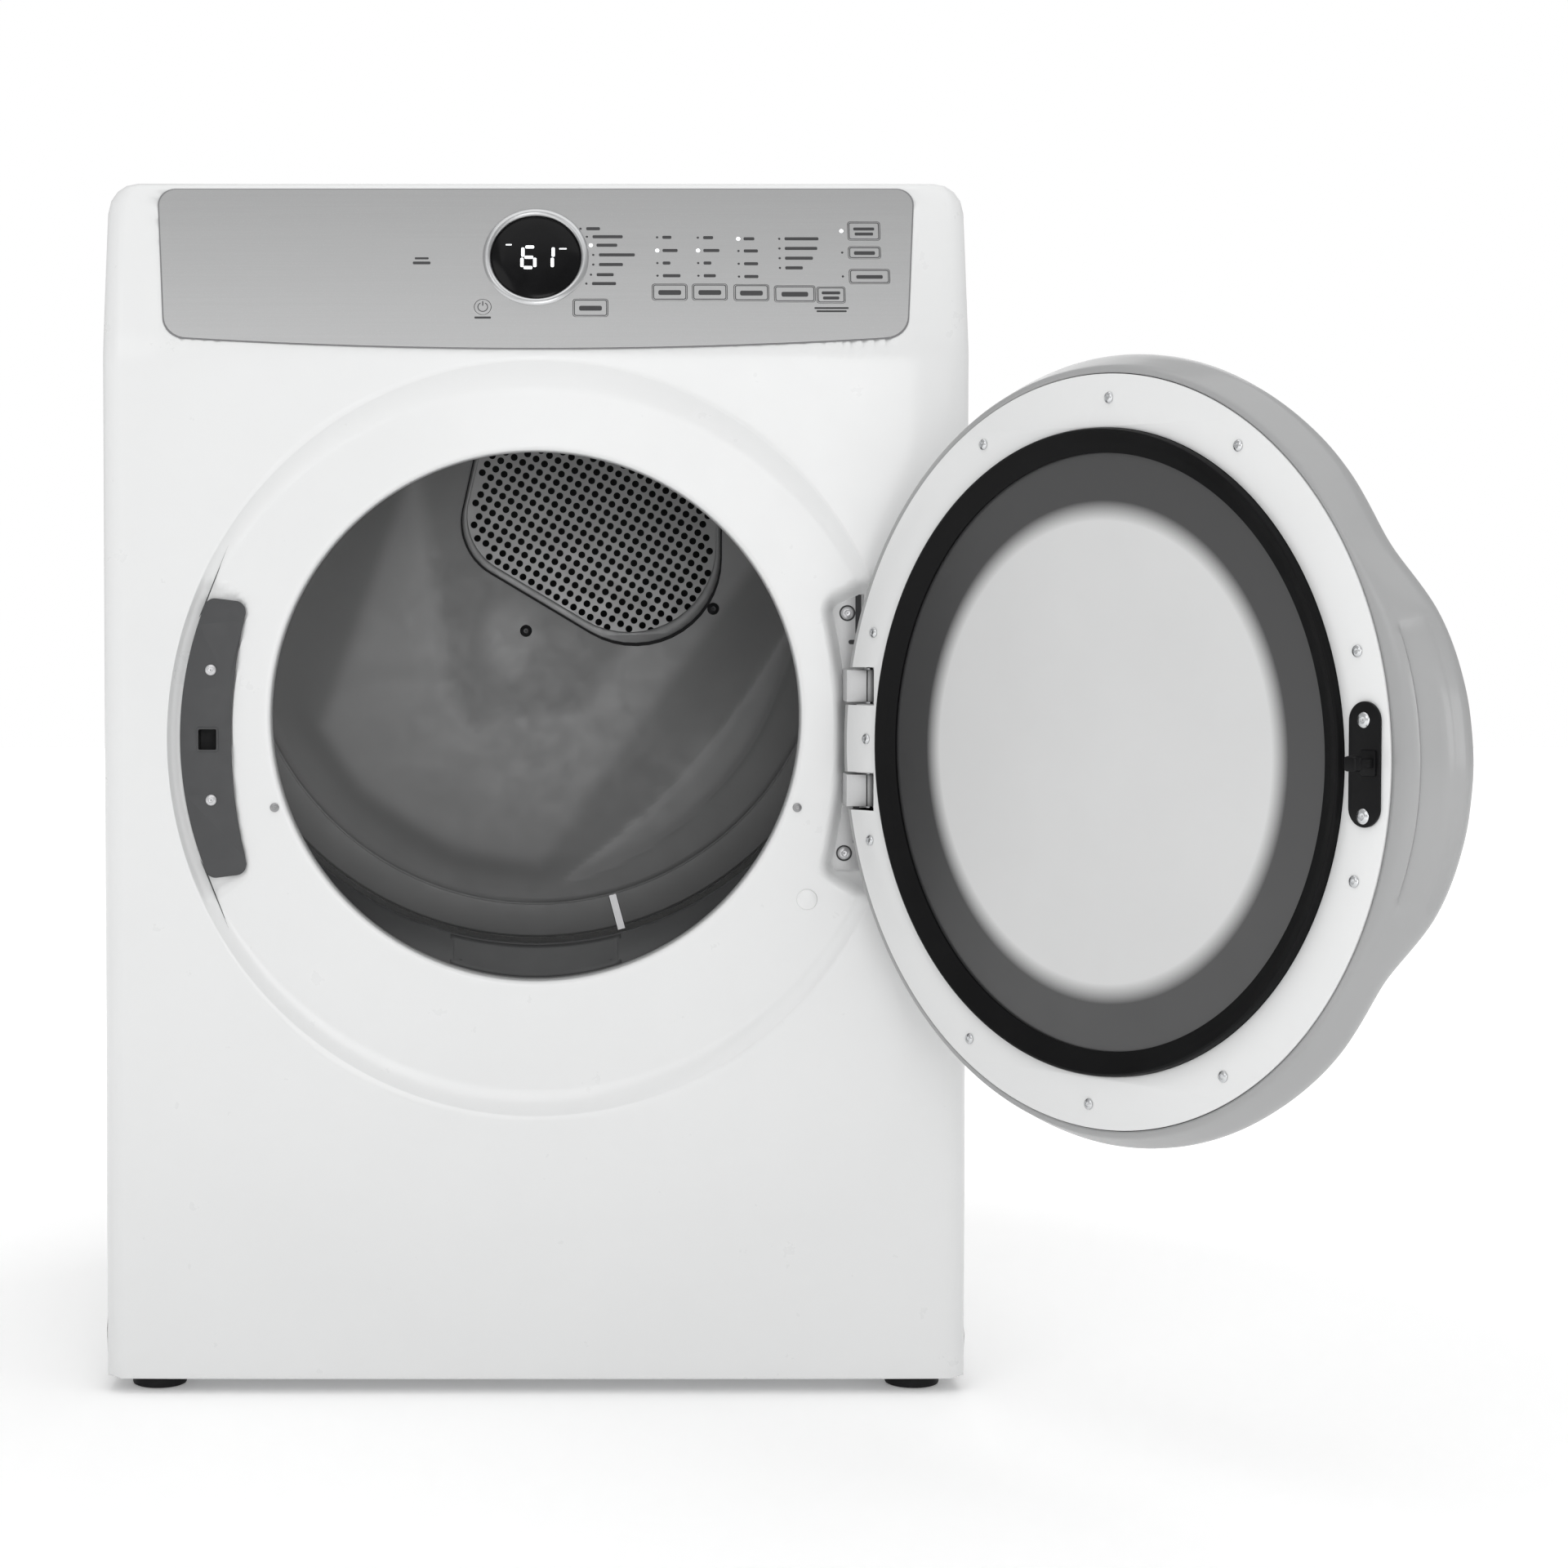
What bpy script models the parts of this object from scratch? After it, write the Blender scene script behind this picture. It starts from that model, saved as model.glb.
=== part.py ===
"""Front-loading clothes dryer, 686 mm wide, with its round door standing open.

Cabinet axes while modelling: X to the right seen from the front, Y to the back, Z up,
with Y = 0 on the face of the front panel and Z = 0 on the floor. All sizes are in metres.
The finished object is then moved so that the middle of its footprint is the origin.
"""
import math

import bmesh
import bpy
from mathutils import Matrix, Vector

# ---------------------------------------------------------------- driving dimensions
GAP = 0.0003
HALF_WIDTH = 0.343
TOP_Z = 0.966
BACK_Y = 0.690
SHEET = 0.0015
PANEL_BOTTOM = 0.0115
PANEL_TOP = 0.8265
CORNER = 0.015
RETURN_Y = 0.022

OPENING_R = 0.210
OPENING_Z = 0.540
RING_Y = 0.006
RECESS_Z = 0.5217
RECESS_OUT = (0.2915, 0.2988)
RECESS_IN = (0.2830, 0.2757)

LEAN = math.radians(19)
CONSOLE_BASE_Z = 0.829
CONSOLE_DEPTH = 0.075
FASCIA_T = 0.003
DISPLAY_S = 0.0795
LENS_R = 0.0353
BEZEL_R = 0.0420

DRUM_Z = 0.626
DRUM_R = 0.3220
DRUM_T = 0.0015
DRUM_FRONT = 0.070
DRUM_BACK = 0.596
DRUM_MOUTH_R = 0.2760
LIP_R = 0.2715
VANE_HEIGHT = 0.055
VANE_WIDTH = 0.090
VANE_BASE_R = 0.3183
REAR_WALL_Y = 0.594
REAR_PLATE_Y = 0.612

DOOR_Z = 0.521
HINGE_X = 0.2613
HINGE_Y = -0.020
HINGE_Z = 0.524
DOOR_OPEN = math.radians(125.1)
PANEL_Y = -0.004
ARM_IN = 0.0283
ARM_OUT = 0.0535
PIN_R = 0.0030
BARREL_R = 0.0058
STRIKE_X = -0.2500
LATCH_Z = 0.522

ROLLER_R = 0.038
ROLLER_ANGLE = math.radians(28)
DRIVE_X = -0.075
DRIVE_Z = 0.150
PULLEY_R = 0.0145
BELT_Y = 0.365
BELT_W = 0.008
BELT_T = 0.002
IDLER_R = 0.024
DUCT_X = 0.090
DUCT_Z = 0.104
DUCT_R = 0.051
FOOT_X = 0.304
FOOT_Y = (0.045, 0.650)
KEY_TRAVEL = 0.0008

# name: (along the console, up its slope, width, height), measured on the leaning face
KEYS = {
    "key_cycles": (0.0432, 0.0355, 0.0273, 0.0150),
    "key_temperature": (0.1059, 0.0490, 0.0273, 0.0140),
    "key_level": (0.1376, 0.0490, 0.0273, 0.0140),
    "key_time": (0.1705, 0.0485, 0.0273, 0.0140),
    "key_options": (0.2048, 0.0475, 0.0320, 0.0140),
    "key_select": (0.2334, 0.0465, 0.0222, 0.0140),
    "key_start": (0.2609, 0.1020, 0.0253, 0.0160),
    "key_cancel": (0.2609, 0.0832, 0.0253, 0.0104),
    "key_add_time": (0.2643, 0.0625, 0.0318, 0.0124),
}
KEY_POWER = (-0.0419, 0.0362, 0.0065)

# colour, roughness, metallic
FINISHES = {
    "white_enamel": ((0.86, 0.87, 0.87), 0.28, 0.0),
    "silver_console": ((0.42, 0.43, 0.44), 0.32, 0.7),
    "black_gloss": ((0.005, 0.005, 0.006), 0.08, 0.0),
    "chrome_trim": ((0.80, 0.80, 0.81), 0.12, 1.0),
    "drum_grey": ((0.20, 0.20, 0.21), 0.40, 0.6),
    "galvanised": ((0.45, 0.46, 0.47), 0.42, 0.9),
    "dark_plastic": ((0.06, 0.06, 0.065), 0.50, 0.0),
    "latch_grey": ((0.075, 0.075, 0.08), 0.55, 0.0),
    "rubber_black": ((0.012, 0.012, 0.013), 0.65, 0.0),
    "door_white": ((0.80, 0.81, 0.81), 0.35, 0.0),
    "door_glass": ((0.55, 0.57, 0.58), 0.05, 0.0),
    "board_green": ((0.03, 0.16, 0.07), 0.45, 0.0),
}

parts = bpy.data.collections.new("clothes_dryer")
cutters = bpy.data.collections.new("cutters")


# ---------------------------------------------------------------- scene and helpers
def clear_scene():
    for obj in list(bpy.data.objects):
        bpy.data.objects.remove(obj, do_unlink=True)
    bpy.context.scene.collection.children.link(parts)
    bpy.context.scene.collection.children.link(cutters)
    cutters.hide_render = True


def finish(name):
    """The material of that finish, made the first time it is asked for."""
    found = bpy.data.materials.get(name)
    if found:
        return found
    colour, roughness, metallic = FINISHES[name]
    made = bpy.data.materials.new(name)
    made.use_nodes = True
    shader = made.node_tree.nodes["Principled BSDF"]
    shader.inputs["Base Color"].default_value = (*colour, 1)
    shader.inputs["Roughness"].default_value = roughness
    shader.inputs["Metallic"].default_value = metallic
    return made


def mesh_object(name, bm, look, parent=None, pivot=(0, 0, 0), collection=None):
    """An object from bm, whose points are in cabinet axes, with its origin at pivot."""
    bmesh.ops.recalc_face_normals(bm, faces=bm.faces)
    bmesh.ops.translate(bm, verts=bm.verts, vec=-Vector(pivot))
    mesh = bpy.data.meshes.new(name)
    bm.to_mesh(mesh)
    bm.free()
    obj = bpy.data.objects.new(name, mesh)
    obj.location = pivot
    if look:
        mesh.materials.append(finish(look))
    if parent:
        obj.parent = parent
        obj.location = Vector(pivot) - parent_origin(parent)
    (collection or parts).objects.link(obj)
    return obj


def parent_origin(parent):
    """Where the parent's own origin lies in cabinet axes, with the door closed."""
    return Vector(parent.get("origin", (0, 0, 0)))


def empty(name, origin, parent=None):
    obj = bpy.data.objects.new(name, None)
    obj["origin"] = origin
    obj.location = Vector(origin) - (parent_origin(parent) if parent else Vector())
    obj.parent = parent
    parts.objects.link(obj)
    return obj


def box_mesh(low, high, chamfer=0.0, segments=2):
    bm = bmesh.new()
    bmesh.ops.create_cube(bm, size=1)
    low, high = Vector(low), Vector(high)
    bmesh.ops.scale(bm, vec=high - low, verts=bm.verts)
    bmesh.ops.translate(bm, vec=(low + high) / 2, verts=bm.verts)
    if chamfer:
        bmesh.ops.bevel(
            bm, geom=bm.edges[:], offset=chamfer, segments=segments, profile=0.5, affect="EDGES"
        )
    return bm


def rod_mesh(centre, radius, length, axis="Y", segments=24):
    """A cylinder about an axis, centred on a point."""
    bm = bmesh.new()
    bmesh.ops.create_cone(
        bm, cap_ends=True, segments=segments, radius1=radius, radius2=radius, depth=length
    )
    turn = {"X": Matrix.Rotation(math.pi / 2, 4, "Y"), "Y": Matrix.Rotation(math.pi / 2, 4, "X")}
    bmesh.ops.transform(bm, verts=bm.verts, matrix=turn.get(axis, Matrix()))
    bmesh.ops.translate(bm, vec=centre, verts=bm.verts)
    return bm


def turned(name, profile, centre, look, parent=None, steps=48):
    """A closed profile of (radius, y) turned about the line through centre along Y."""
    area = sum(
        a[0] * b[1] - b[0] * a[1] for a, b in zip(profile, profile[1:] + profile[:1])
    )
    if area > 0:
        profile = profile[::-1]
    solid = profile[0][0] == 0 or profile[-1][0] == 0
    bm = bmesh.new()
    points = [bm.verts.new((radius, 0, y)) for radius, y in profile]
    for a, b in zip(points, points[1:]):
        bm.edges.new((a, b))
    if not solid:
        bm.edges.new((points[-1], points[0]))
    mesh = bpy.data.meshes.new(name)
    bm.to_mesh(mesh)
    bm.free()
    obj = bpy.data.objects.new(name, mesh)
    mesh.materials.append(finish(look))
    obj.parent = parent
    pivot = Vector((centre[0], 0, centre[1]))
    obj.location = pivot - (parent_origin(parent) if parent else Vector())
    obj.rotation_euler.x = -math.pi / 2
    parts.objects.link(obj)
    screw = obj.modifiers.new("Turn", "SCREW")
    screw.axis = "Z"
    screw.steps = steps
    screw.render_steps = steps
    screw.use_merge_vertices = True
    screw.merge_threshold = 0.0001
    screw.use_smooth_shade = True
    return obj


def loft_mesh(loops, close_end=False):
    """A sheet through closed loops of points that all have the same number of points."""
    bm = bmesh.new()
    rows = [[bm.verts.new(point) for point in loop] for loop in loops]
    count = len(rows[0])
    for inner, outer in zip(rows, rows[1:]):
        for i in range(count):
            j = (i + 1) % count
            bm.faces.new((inner[i], inner[j], outer[j], outer[i]))
    if close_end:
        bm.faces.new(rows[-1])
    return bm


def thicken(obj, thickness, offset=-1.0):
    solid = obj.modifiers.new("Sheet", "SOLIDIFY")
    solid.thickness = thickness
    solid.offset = offset
    solid.use_even_offset = True
    return obj


def plate(name, outlines, thickness, matrix, look, parent=None):
    """A flat piece from closed outlines, the later ones holes, in the plane of matrix.

    Its outer face is the plane itself and its thickness goes back from it.
    """
    curve = bpy.data.curves.new(name, "CURVE")
    curve.dimensions = "2D"
    curve.fill_mode = "BOTH"
    curve.extrude = thickness / 2
    for outline in outlines:
        spline = curve.splines.new("POLY")
        spline.points.add(len(outline) - 1)
        for point, (x, y) in zip(spline.points, outline):
            point.co = (x, y, 0, 1)
        spline.use_cyclic_u = True
    flat = bpy.data.objects.new(name + "_outline", curve)
    bpy.context.scene.collection.objects.link(flat)
    bpy.context.view_layer.update()
    graph = bpy.context.evaluated_depsgraph_get()
    mesh = bpy.data.meshes.new_from_object(flat.evaluated_get(graph))
    bpy.data.objects.remove(flat, do_unlink=True)
    bm = bmesh.new()
    bm.from_mesh(mesh)
    bpy.data.meshes.remove(mesh)
    bmesh.ops.remove_doubles(bm, verts=bm.verts, dist=0.00001)
    bmesh.ops.translate(bm, vec=(0, 0, -thickness / 2), verts=bm.verts)
    bmesh.ops.transform(bm, verts=bm.verts, matrix=matrix)
    if look is None:
        return bm
    return mesh_object(name, bm, look, parent)


def combine(obj, operation, bm, label):
    """A Boolean of obj with a helper solid, which takes the object's own frame."""
    helper = mesh_object(f"{obj.name}_{label}", bm, None, collection=cutters)
    helper.parent = obj.parent
    helper.location = -(parent_origin(obj.parent) if obj.parent else Vector())
    helper.hide_render = True
    helper.display_type = "WIRE"
    step = obj.modifiers.new(label, "BOOLEAN")
    step.operation = operation
    step.object = helper
    step.solver = "EXACT"
    return obj


def arc(centre, radius, start, end, count):
    """Points on a circle between two angles in degrees, both ends included."""
    angles = [math.radians(start + (end - start) * i / (count - 1)) for i in range(count)]
    return [
        (centre[0] + radius * math.cos(a), centre[1] + radius * math.sin(a)) for a in angles
    ]


def rounded(corners, radius, count=5):
    """A closed outline with each corner that isn't nearly straight replaced by an arc."""
    outline = []
    total = len(corners)
    radii = radius if isinstance(radius, (list, tuple)) else [radius] * total
    for i, corner in enumerate(corners):
        here = Vector(corner)
        before = (Vector(corners[i - 1]) - here).normalized()
        after = (Vector(corners[(i + 1) % total]) - here).normalized()
        half = before.angle(after) / 2
        if half > math.radians(70):
            outline.append(tuple(here))
            continue
        reach = radii[i] / math.tan(half)
        centre = here + (before + after).normalized() * (radii[i] / math.sin(half))
        first = here + before * reach - centre
        last = here + after * reach - centre
        start = math.atan2(first.y, first.x)
        sweep = (math.atan2(last.y, last.x) - start + math.pi) % (2 * math.pi) - math.pi
        for k in range(count):
            turn = start + sweep * k / (count - 1)
            outline.append(
                (centre.x + radii[i] * math.cos(turn), centre.y + radii[i] * math.sin(turn))
            )
    return outline


def rectangle(x, y, width, height, radius=0.0):
    corners = [
        (x - width / 2, y - height / 2),
        (x + width / 2, y - height / 2),
        (x + width / 2, y + height / 2),
        (x - width / 2, y + height / 2),
    ]
    return rounded(corners, radius, 4) if radius else corners


def circle(x, y, radius, count=32):
    return arc((x, y), radius, 0, 360 - 360 / count, count)


def facing(y):
    """The plane at that depth, seen from the front: across is X and up is Z."""
    return Matrix.Translation((0, y, 0)) @ Matrix.Rotation(math.pi / 2, 4, "X")


def console_plane():
    """The leaning face of the console: across is X and up is up its slope."""
    return Matrix.Translation((0, 0, CONSOLE_BASE_Z)) @ Matrix.Rotation(
        math.pi / 2 - LEAN, 4, "X"
    )


# ---------------------------------------------------------------- cabinet
def frame_directions(centre_z, half_x, low, high, count=56):
    """Angles about (0, centre_z), with four of them aimed at the rectangle's corners."""
    angles = [2 * math.pi * i / count for i in range(count)]
    for x in (half_x, -half_x):
        for z in (low, high):
            corner = math.atan2(z - centre_z, x) % (2 * math.pi)
            nearest = min(range(count), key=lambda i: abs(angles[i] - corner))
            angles[nearest] = corner
    return angles


def ellipse_loop(angles, across, up, centre_z, y):
    return [(across * math.cos(a), y, centre_z + up * math.sin(a)) for a in angles]


def rectangle_loop(angles, centre_z, half_x, low, high, y, stretch=1.0):
    loop = []
    for a in angles:
        reach_x = half_x / max(abs(math.cos(a)), 1e-9)
        limit = high - centre_z if math.sin(a) > 0 else centre_z - low
        reach_z = limit / max(abs(math.sin(a)), 1e-9)
        reach = min(reach_x, reach_z)
        loop.append((reach * math.cos(a) * stretch, y, centre_z + reach * math.sin(a)))
    return loop


def front_panel():
    flat = HALF_WIDTH - CORNER
    angles = frame_directions(RECESS_Z, flat, PANEL_BOTTOM, PANEL_TOP)
    loops = [
        ellipse_loop(angles, OPENING_R, OPENING_R, OPENING_Z, 0.034),
        ellipse_loop(angles, OPENING_R, OPENING_R, OPENING_Z, RING_Y + 0.003),
        ellipse_loop(angles, OPENING_R + 0.003, OPENING_R + 0.003, OPENING_Z, RING_Y),
        ellipse_loop(angles, *RECESS_IN, RECESS_Z, RING_Y),
        ellipse_loop(angles, *RECESS_OUT, RECESS_Z, 0),
    ]
    bounds = (RECESS_Z, flat, PANEL_BOTTOM, PANEL_TOP)
    loops.append(rectangle_loop(angles, *bounds, 0))
    for turn in (45, 90):
        swing = math.radians(turn)
        width = flat + CORNER * math.sin(swing)
        depth = CORNER * (1 - math.cos(swing))
        loops.append(rectangle_loop(angles, *bounds, depth, width / flat))
    loops.append(rectangle_loop(angles, *bounds, RETURN_Y, HALF_WIDTH / flat))
    panel = mesh_object("front_panel", loft_mesh(loops), "white_enamel")
    front_is_outside(panel)
    thicken(panel, 0.001)
    pocket = rounded([(0.229, 0.413), (0.306, 0.413), (0.306, 0.645), (0.229, 0.645)], 0.012)
    combine(panel, "DIFFERENCE", plate("pocket", [pocket], 0.06, facing(-0.02), None), "pocket")
    slot = box_mesh((-0.268, -0.02, LATCH_Z - 0.009), (-0.2505, 0.012, LATCH_Z + 0.009))
    combine(panel, "DIFFERENCE", slot, "slot")


def front_is_outside(obj):
    """Turns an open sheet so that its normals point to the front, so it thickens backwards."""
    total = sum(face.normal.y * face.area for face in obj.data.polygons)
    if total > 0:
        obj.data.flip_normals()


def side_panels():
    outline = [
        (RETURN_Y + GAP, PANEL_BOTTOM),
        (BACK_Y, PANEL_BOTTOM),
        (BACK_Y, TOP_Z - CORNER - GAP),
        (CONSOLE_DEPTH + GAP, TOP_Z - CORNER - GAP),
        (CONSOLE_DEPTH + GAP, PANEL_TOP - GAP),
        (RETURN_Y + GAP, PANEL_TOP - GAP),
    ]
    for side, name in ((-1, "side_panel_left"), (1, "side_panel_right")):
        outer = HALF_WIDTH if side > 0 else -HALF_WIDTH + SHEET
        upright = Matrix.Translation((outer, 0, 0)) @ Matrix(
            ((0, 0, 1, 0), (1, 0, 0, 0), (0, 1, 0, 0), (0, 0, 0, 1))
        )
        plate(name, [outline], SHEET, upright, "white_enamel")


def top_panel():
    low = Vector((-HALF_WIDTH, CONSOLE_DEPTH + GAP, TOP_Z - CORNER))
    high = Vector((HALF_WIDTH, BACK_Y, TOP_Z))
    bm = box_mesh(low, high)
    sides = [
        edge
        for edge in bm.edges
        if all(abs(v.co.z - TOP_Z) < 1e-5 for v in edge.verts)
        and abs(edge.verts[0].co.x - edge.verts[1].co.x) < 1e-5
    ]
    bmesh.ops.bevel(bm, geom=sides, offset=0.0135, segments=4, profile=0.5, affect="EDGES")
    panel = mesh_object("top_panel", bm, "white_enamel")
    wall = Vector((0.003, 0.003, 0.0))
    under = box_mesh(low + wall - Vector((0, 0, 0.01)), high - wall - Vector((0, 0, SHEET)))
    shoulder = [e for e in under.edges if all(abs(v.co.z - TOP_Z + SHEET) < 1e-5 for v in e.verts)]
    bmesh.ops.bevel(under, geom=shoulder, offset=0.011, segments=2, profile=0.5, affect="EDGES")
    combine(panel, "DIFFERENCE", under, "underside")


def rear_panel():
    side = HALF_WIDTH - SHEET - GAP
    outline = [(-side, 0.0145), (side, 0.0145), (side, 0.950), (-side, 0.950)]
    outlet = circle(DUCT_X, DUCT_Z, DUCT_R + 0.0015, 40)
    plate("rear_panel", [outline, outlet], SHEET, facing(BACK_Y - SHEET), "galvanised")
    cover = box_mesh((-0.250, BACK_Y + GAP, 0.760), (-0.140, BACK_Y + 0.022, 0.860), 0.004)
    mesh_object("terminal_cover", cover, "galvanised")


def base_pan():
    half = HALF_WIDTH - SHEET - 0.003
    outline = [(-half, 0.024), (half, 0.024), (half, 0.685), (-half, 0.685)]
    holes = [circle(x, y, 0.0060, 12) for x in (-FOOT_X, FOOT_X) for y in FOOT_Y]
    level = Matrix.Translation((0, 0, 0.0165))
    plate("base_pan", [outline] + holes, 0.002, level, "galvanised")


def feet():
    """A levelling foot at each corner: a pad under a stud that goes up through the pan."""
    spots = (("front", FOOT_Y[0]), ("rear", FOOT_Y[1]))
    for depth_name, y in spots:
        for side_name, x in (("left", -FOOT_X), ("right", FOOT_X)):
            foot = mesh_object(
                f"foot_{depth_name}_{side_name}",
                foot_mesh(x, y),
                "rubber_black",
                pivot=(x, y, 0),
            )
            foot.data.shade_smooth()
            foot.data.set_sharp_from_angle(angle=math.radians(40))


def foot_mesh(x, y):
    """Pad and stud as one turned body, from the floor up."""
    profile = [(0.019, 0.0), (0.022, 0.003), (0.022, 0.0075), (0.005, 0.0105), (0.005, 0.048)]
    bm = bmesh.new()
    sides = 20
    rings = []
    for radius, z in profile:
        angles = [2 * math.pi * i / sides for i in range(sides)]
        rings.append(
            [bm.verts.new((x + radius * math.cos(a), y + radius * math.sin(a), z)) for a in angles]
        )
    for lower, upper in zip(rings, rings[1:]):
        for i in range(sides):
            j = (i + 1) % sides
            bm.faces.new((lower[i], lower[j], upper[j], upper[i]))
    bm.faces.new(rings[0])
    bm.faces.new(rings[-1])
    return bm


# ---------------------------------------------------------------- console
def fascia_outline(grow=0.0):
    """The silver plate: straight top, sides that lean in, and a bowed lower edge."""
    top, side_top, side_low, low = 0.1385 + grow, 0.3015 + grow, 0.2925 + grow, 0.0115 - grow
    bow = [
        (x, 0.0012 - grow + 0.0100 * (x / side_low) ** 2)
        for x in [side_low * (-0.90 + 0.15 * i) for i in range(13)]
    ]
    corner = 0.013 + grow
    left_top = arc((-side_top + corner, top - corner), corner, 90, 180, 5)
    left_low = arc((-side_low + 0.018, low + 0.019), 0.018 + grow * 0.3, 183, 262, 6)
    right_low = [(-x, y) for x, y in reversed(left_low)]
    right_top = [(-x, y) for x, y in reversed(left_top)]
    return left_top + left_low + bow + right_low + right_top


def console():
    plane = console_plane()
    slope_top = 0.1415
    front = (slope_top * math.sin(LEAN), CONSOLE_BASE_Z + slope_top * math.cos(LEAN))
    toe = CONSOLE_BASE_Z - PANEL_TOP - GAP
    side = [
        (-toe * math.tan(LEAN), PANEL_TOP + GAP),
        front,
        (front[0] + 0.010, TOP_Z),
        (CONSOLE_DEPTH, TOP_Z),
        (CONSOLE_DEPTH, PANEL_TOP + GAP),
    ]
    across = Matrix.Translation((HALF_WIDTH, 0, 0)) @ Matrix(
        ((0, 0, 1, 0), (1, 0, 0, 0), (0, 1, 0, 0), (0, 0, 0, 1))
    )
    block = plate("housing", [side], 2 * HALF_WIDTH, across, None)
    ends = [
        edge
        for edge in block.edges
        if abs(edge.verts[0].co.x - edge.verts[1].co.x) < 1e-5
        and min(v.co.y for v in edge.verts) < CONSOLE_DEPTH - 0.001
        and max(v.co.z for v in edge.verts) > PANEL_TOP + 0.001
        and len(edge.link_faces) == 2
        and edge.calc_face_angle(0) > 0.5
    ]
    bmesh.ops.bevel(
        block, geom=ends, offset=CORNER * 0.93, segments=4, profile=0.5, affect="EDGES"
    )
    housing = mesh_object("console_housing", block, "white_enamel")
    wall = 0.0025
    inner_side = [
        (0.0030, PANEL_TOP - 0.01),
        (0.0030 + 0.0500 * math.tan(LEAN), PANEL_TOP + 0.0400),
        (front[0] + 0.0035, front[1] - 0.0032),
        (front[0] + 0.0105, TOP_Z - wall),
        (CONSOLE_DEPTH + 0.01, TOP_Z - wall),
        (CONSOLE_DEPTH + 0.01, PANEL_TOP - 0.01),
    ]
    inset = CORNER * 0.93
    narrow = Matrix.Translation((HALF_WIDTH - inset, 0, 0)) @ across.to_3x3().to_4x4()
    hollow = plate("hollow", [inner_side], 2 * (HALF_WIDTH - inset), narrow, None)
    combine(housing, "DIFFERENCE", hollow, "hollow")
    window = plate("window", [fascia_outline(0.0005)], 0.03, plane_offset(plane, 0.015), None)
    combine(housing, "DIFFERENCE", window, "window")

    holes = [circle(0, DISPLAY_S, BEZEL_R + 0.0004, 40)]
    holes.append(circle(KEY_POWER[0], KEY_POWER[1], KEY_POWER[2] + 0.0004, 20))
    for x, s, width, height in KEYS.values():
        holes.append(rectangle(x, s, width + 0.0008, height + 0.0008, 0.0016))
    plate("console_fascia", [fascia_outline()] + holes, FASCIA_T, plane, "silver_console")

    for name, (x, s, width, height) in KEYS.items():
        cap = plate("cap", [rectangle(x, s, width, height, 0.0014)], FASCIA_T, plane, None)
        pivot = plane @ Vector((x, s, 0))
        mesh_object(name, cap, "silver_console", pivot=pivot)
    x, s, radius = KEY_POWER
    cap = plate("cap", [circle(x, s, radius, 20)], FASCIA_T, plane, None)
    mesh_object("key_power", cap, "silver_console", pivot=plane @ Vector((x, s, 0)))

    display(plane)
    board = [rectangle(0.09, 0.0765, 0.420, 0.083)]
    plate("control_board", board, 0.0016, plane_offset(plane, -0.0080), "board_green")


def plane_offset(plane, out):
    """The console plane moved out from the cabinet along its own normal."""
    return plane @ Matrix.Translation((0, 0, out))


def display(plane):
    ring = [circle(0, DISPLAY_S, BEZEL_R, 40), circle(0, DISPLAY_S, LENS_R + GAP, 40)]
    plate("display_bezel", ring, 0.006, plane_offset(plane, 0.0022), "chrome_trim")
    disc = [circle(0, DISPLAY_S, LENS_R, 40)]
    plate("display_lens", disc, 0.0035, plane_offset(plane, -0.0004), "black_gloss")


# ---------------------------------------------------------------- drum and its supports
def front_bulkhead():
    """A plate with a funnel from the round door opening to the drum's wider mouth."""
    half, low, high = HALF_WIDTH - 0.0146, 0.190, 0.900
    plate_y = 0.038
    angles = frame_directions(OPENING_Z, half, low, high)
    mouth = OPENING_R + 0.0015
    loops = [
        rectangle_loop(angles, OPENING_Z, half, low, high, plate_y),
        ellipse_loop(angles, mouth, mouth, OPENING_Z, plate_y),
        ellipse_loop(angles, LIP_R, LIP_R, DRUM_Z, 0.062),
        ellipse_loop(angles, LIP_R, LIP_R, DRUM_Z, 0.076),
    ]
    bulkhead = mesh_object("front_bulkhead", loft_mesh(loops), "drum_grey")
    front_is_outside(bulkhead)
    thicken(bulkhead, 0.001)
    slot = box_mesh((-0.0665, 0.0415, 0.30), (0.0665, 0.0585, 0.40))
    combine(bulkhead, "DIFFERENCE", slot, "filter_slot")


def lint_parts():
    """The filter, which lifts out of a slot in the funnel, and the duct that holds it."""
    frame = box_mesh((-0.065, 0.0430, 0.215), (0.065, 0.0570, 0.3440), 0.0015)
    mesh_object("lint_filter", frame, "dark_plastic", pivot=(0, 0.050, 0.215))
    duct = mesh_object(
        "lint_duct", box_mesh((-0.130, 0.0400, 0.085), (0.075, 0.0640, 0.318)), "dark_plastic"
    )
    inside = box_mesh((-0.128, 0.0418, 0.087), (0.073, 0.0622, 0.316))
    mouth = box_mesh((-0.0670, 0.0418, 0.300), (0.0670, 0.0590, 0.330))
    outlet = rod_mesh((DRIVE_X, 0.064, DRIVE_Z), 0.048, 0.012, "Y", 32)
    combine(duct, "DIFFERENCE", inside, "inside")
    combine(duct, "DIFFERENCE", mouth, "mouth")
    combine(duct, "DIFFERENCE", outlet, "outlet")


def sensor_bar():
    """A bright metal strip that stands on the funnel's lip and feels the damp laundry."""
    bar = box_mesh((-0.0035, -0.001, 0.0), (0.0035, 0.001, 0.030), 0.0006, 1)
    around = math.radians(-75)
    lip = LIP_R - 0.0316
    place = Matrix.Translation((lip * math.cos(around), 0.0690, DRUM_Z + lip * math.sin(around)))
    turn = Matrix.Rotation(math.radians(-15), 4, "Y")
    bmesh.ops.transform(bar, verts=bar.verts, matrix=place @ turn @ Matrix.Translation((0, 0, -0.030)))
    mesh_object("moisture_sensor_bar", bar, "chrome_trim")


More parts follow.
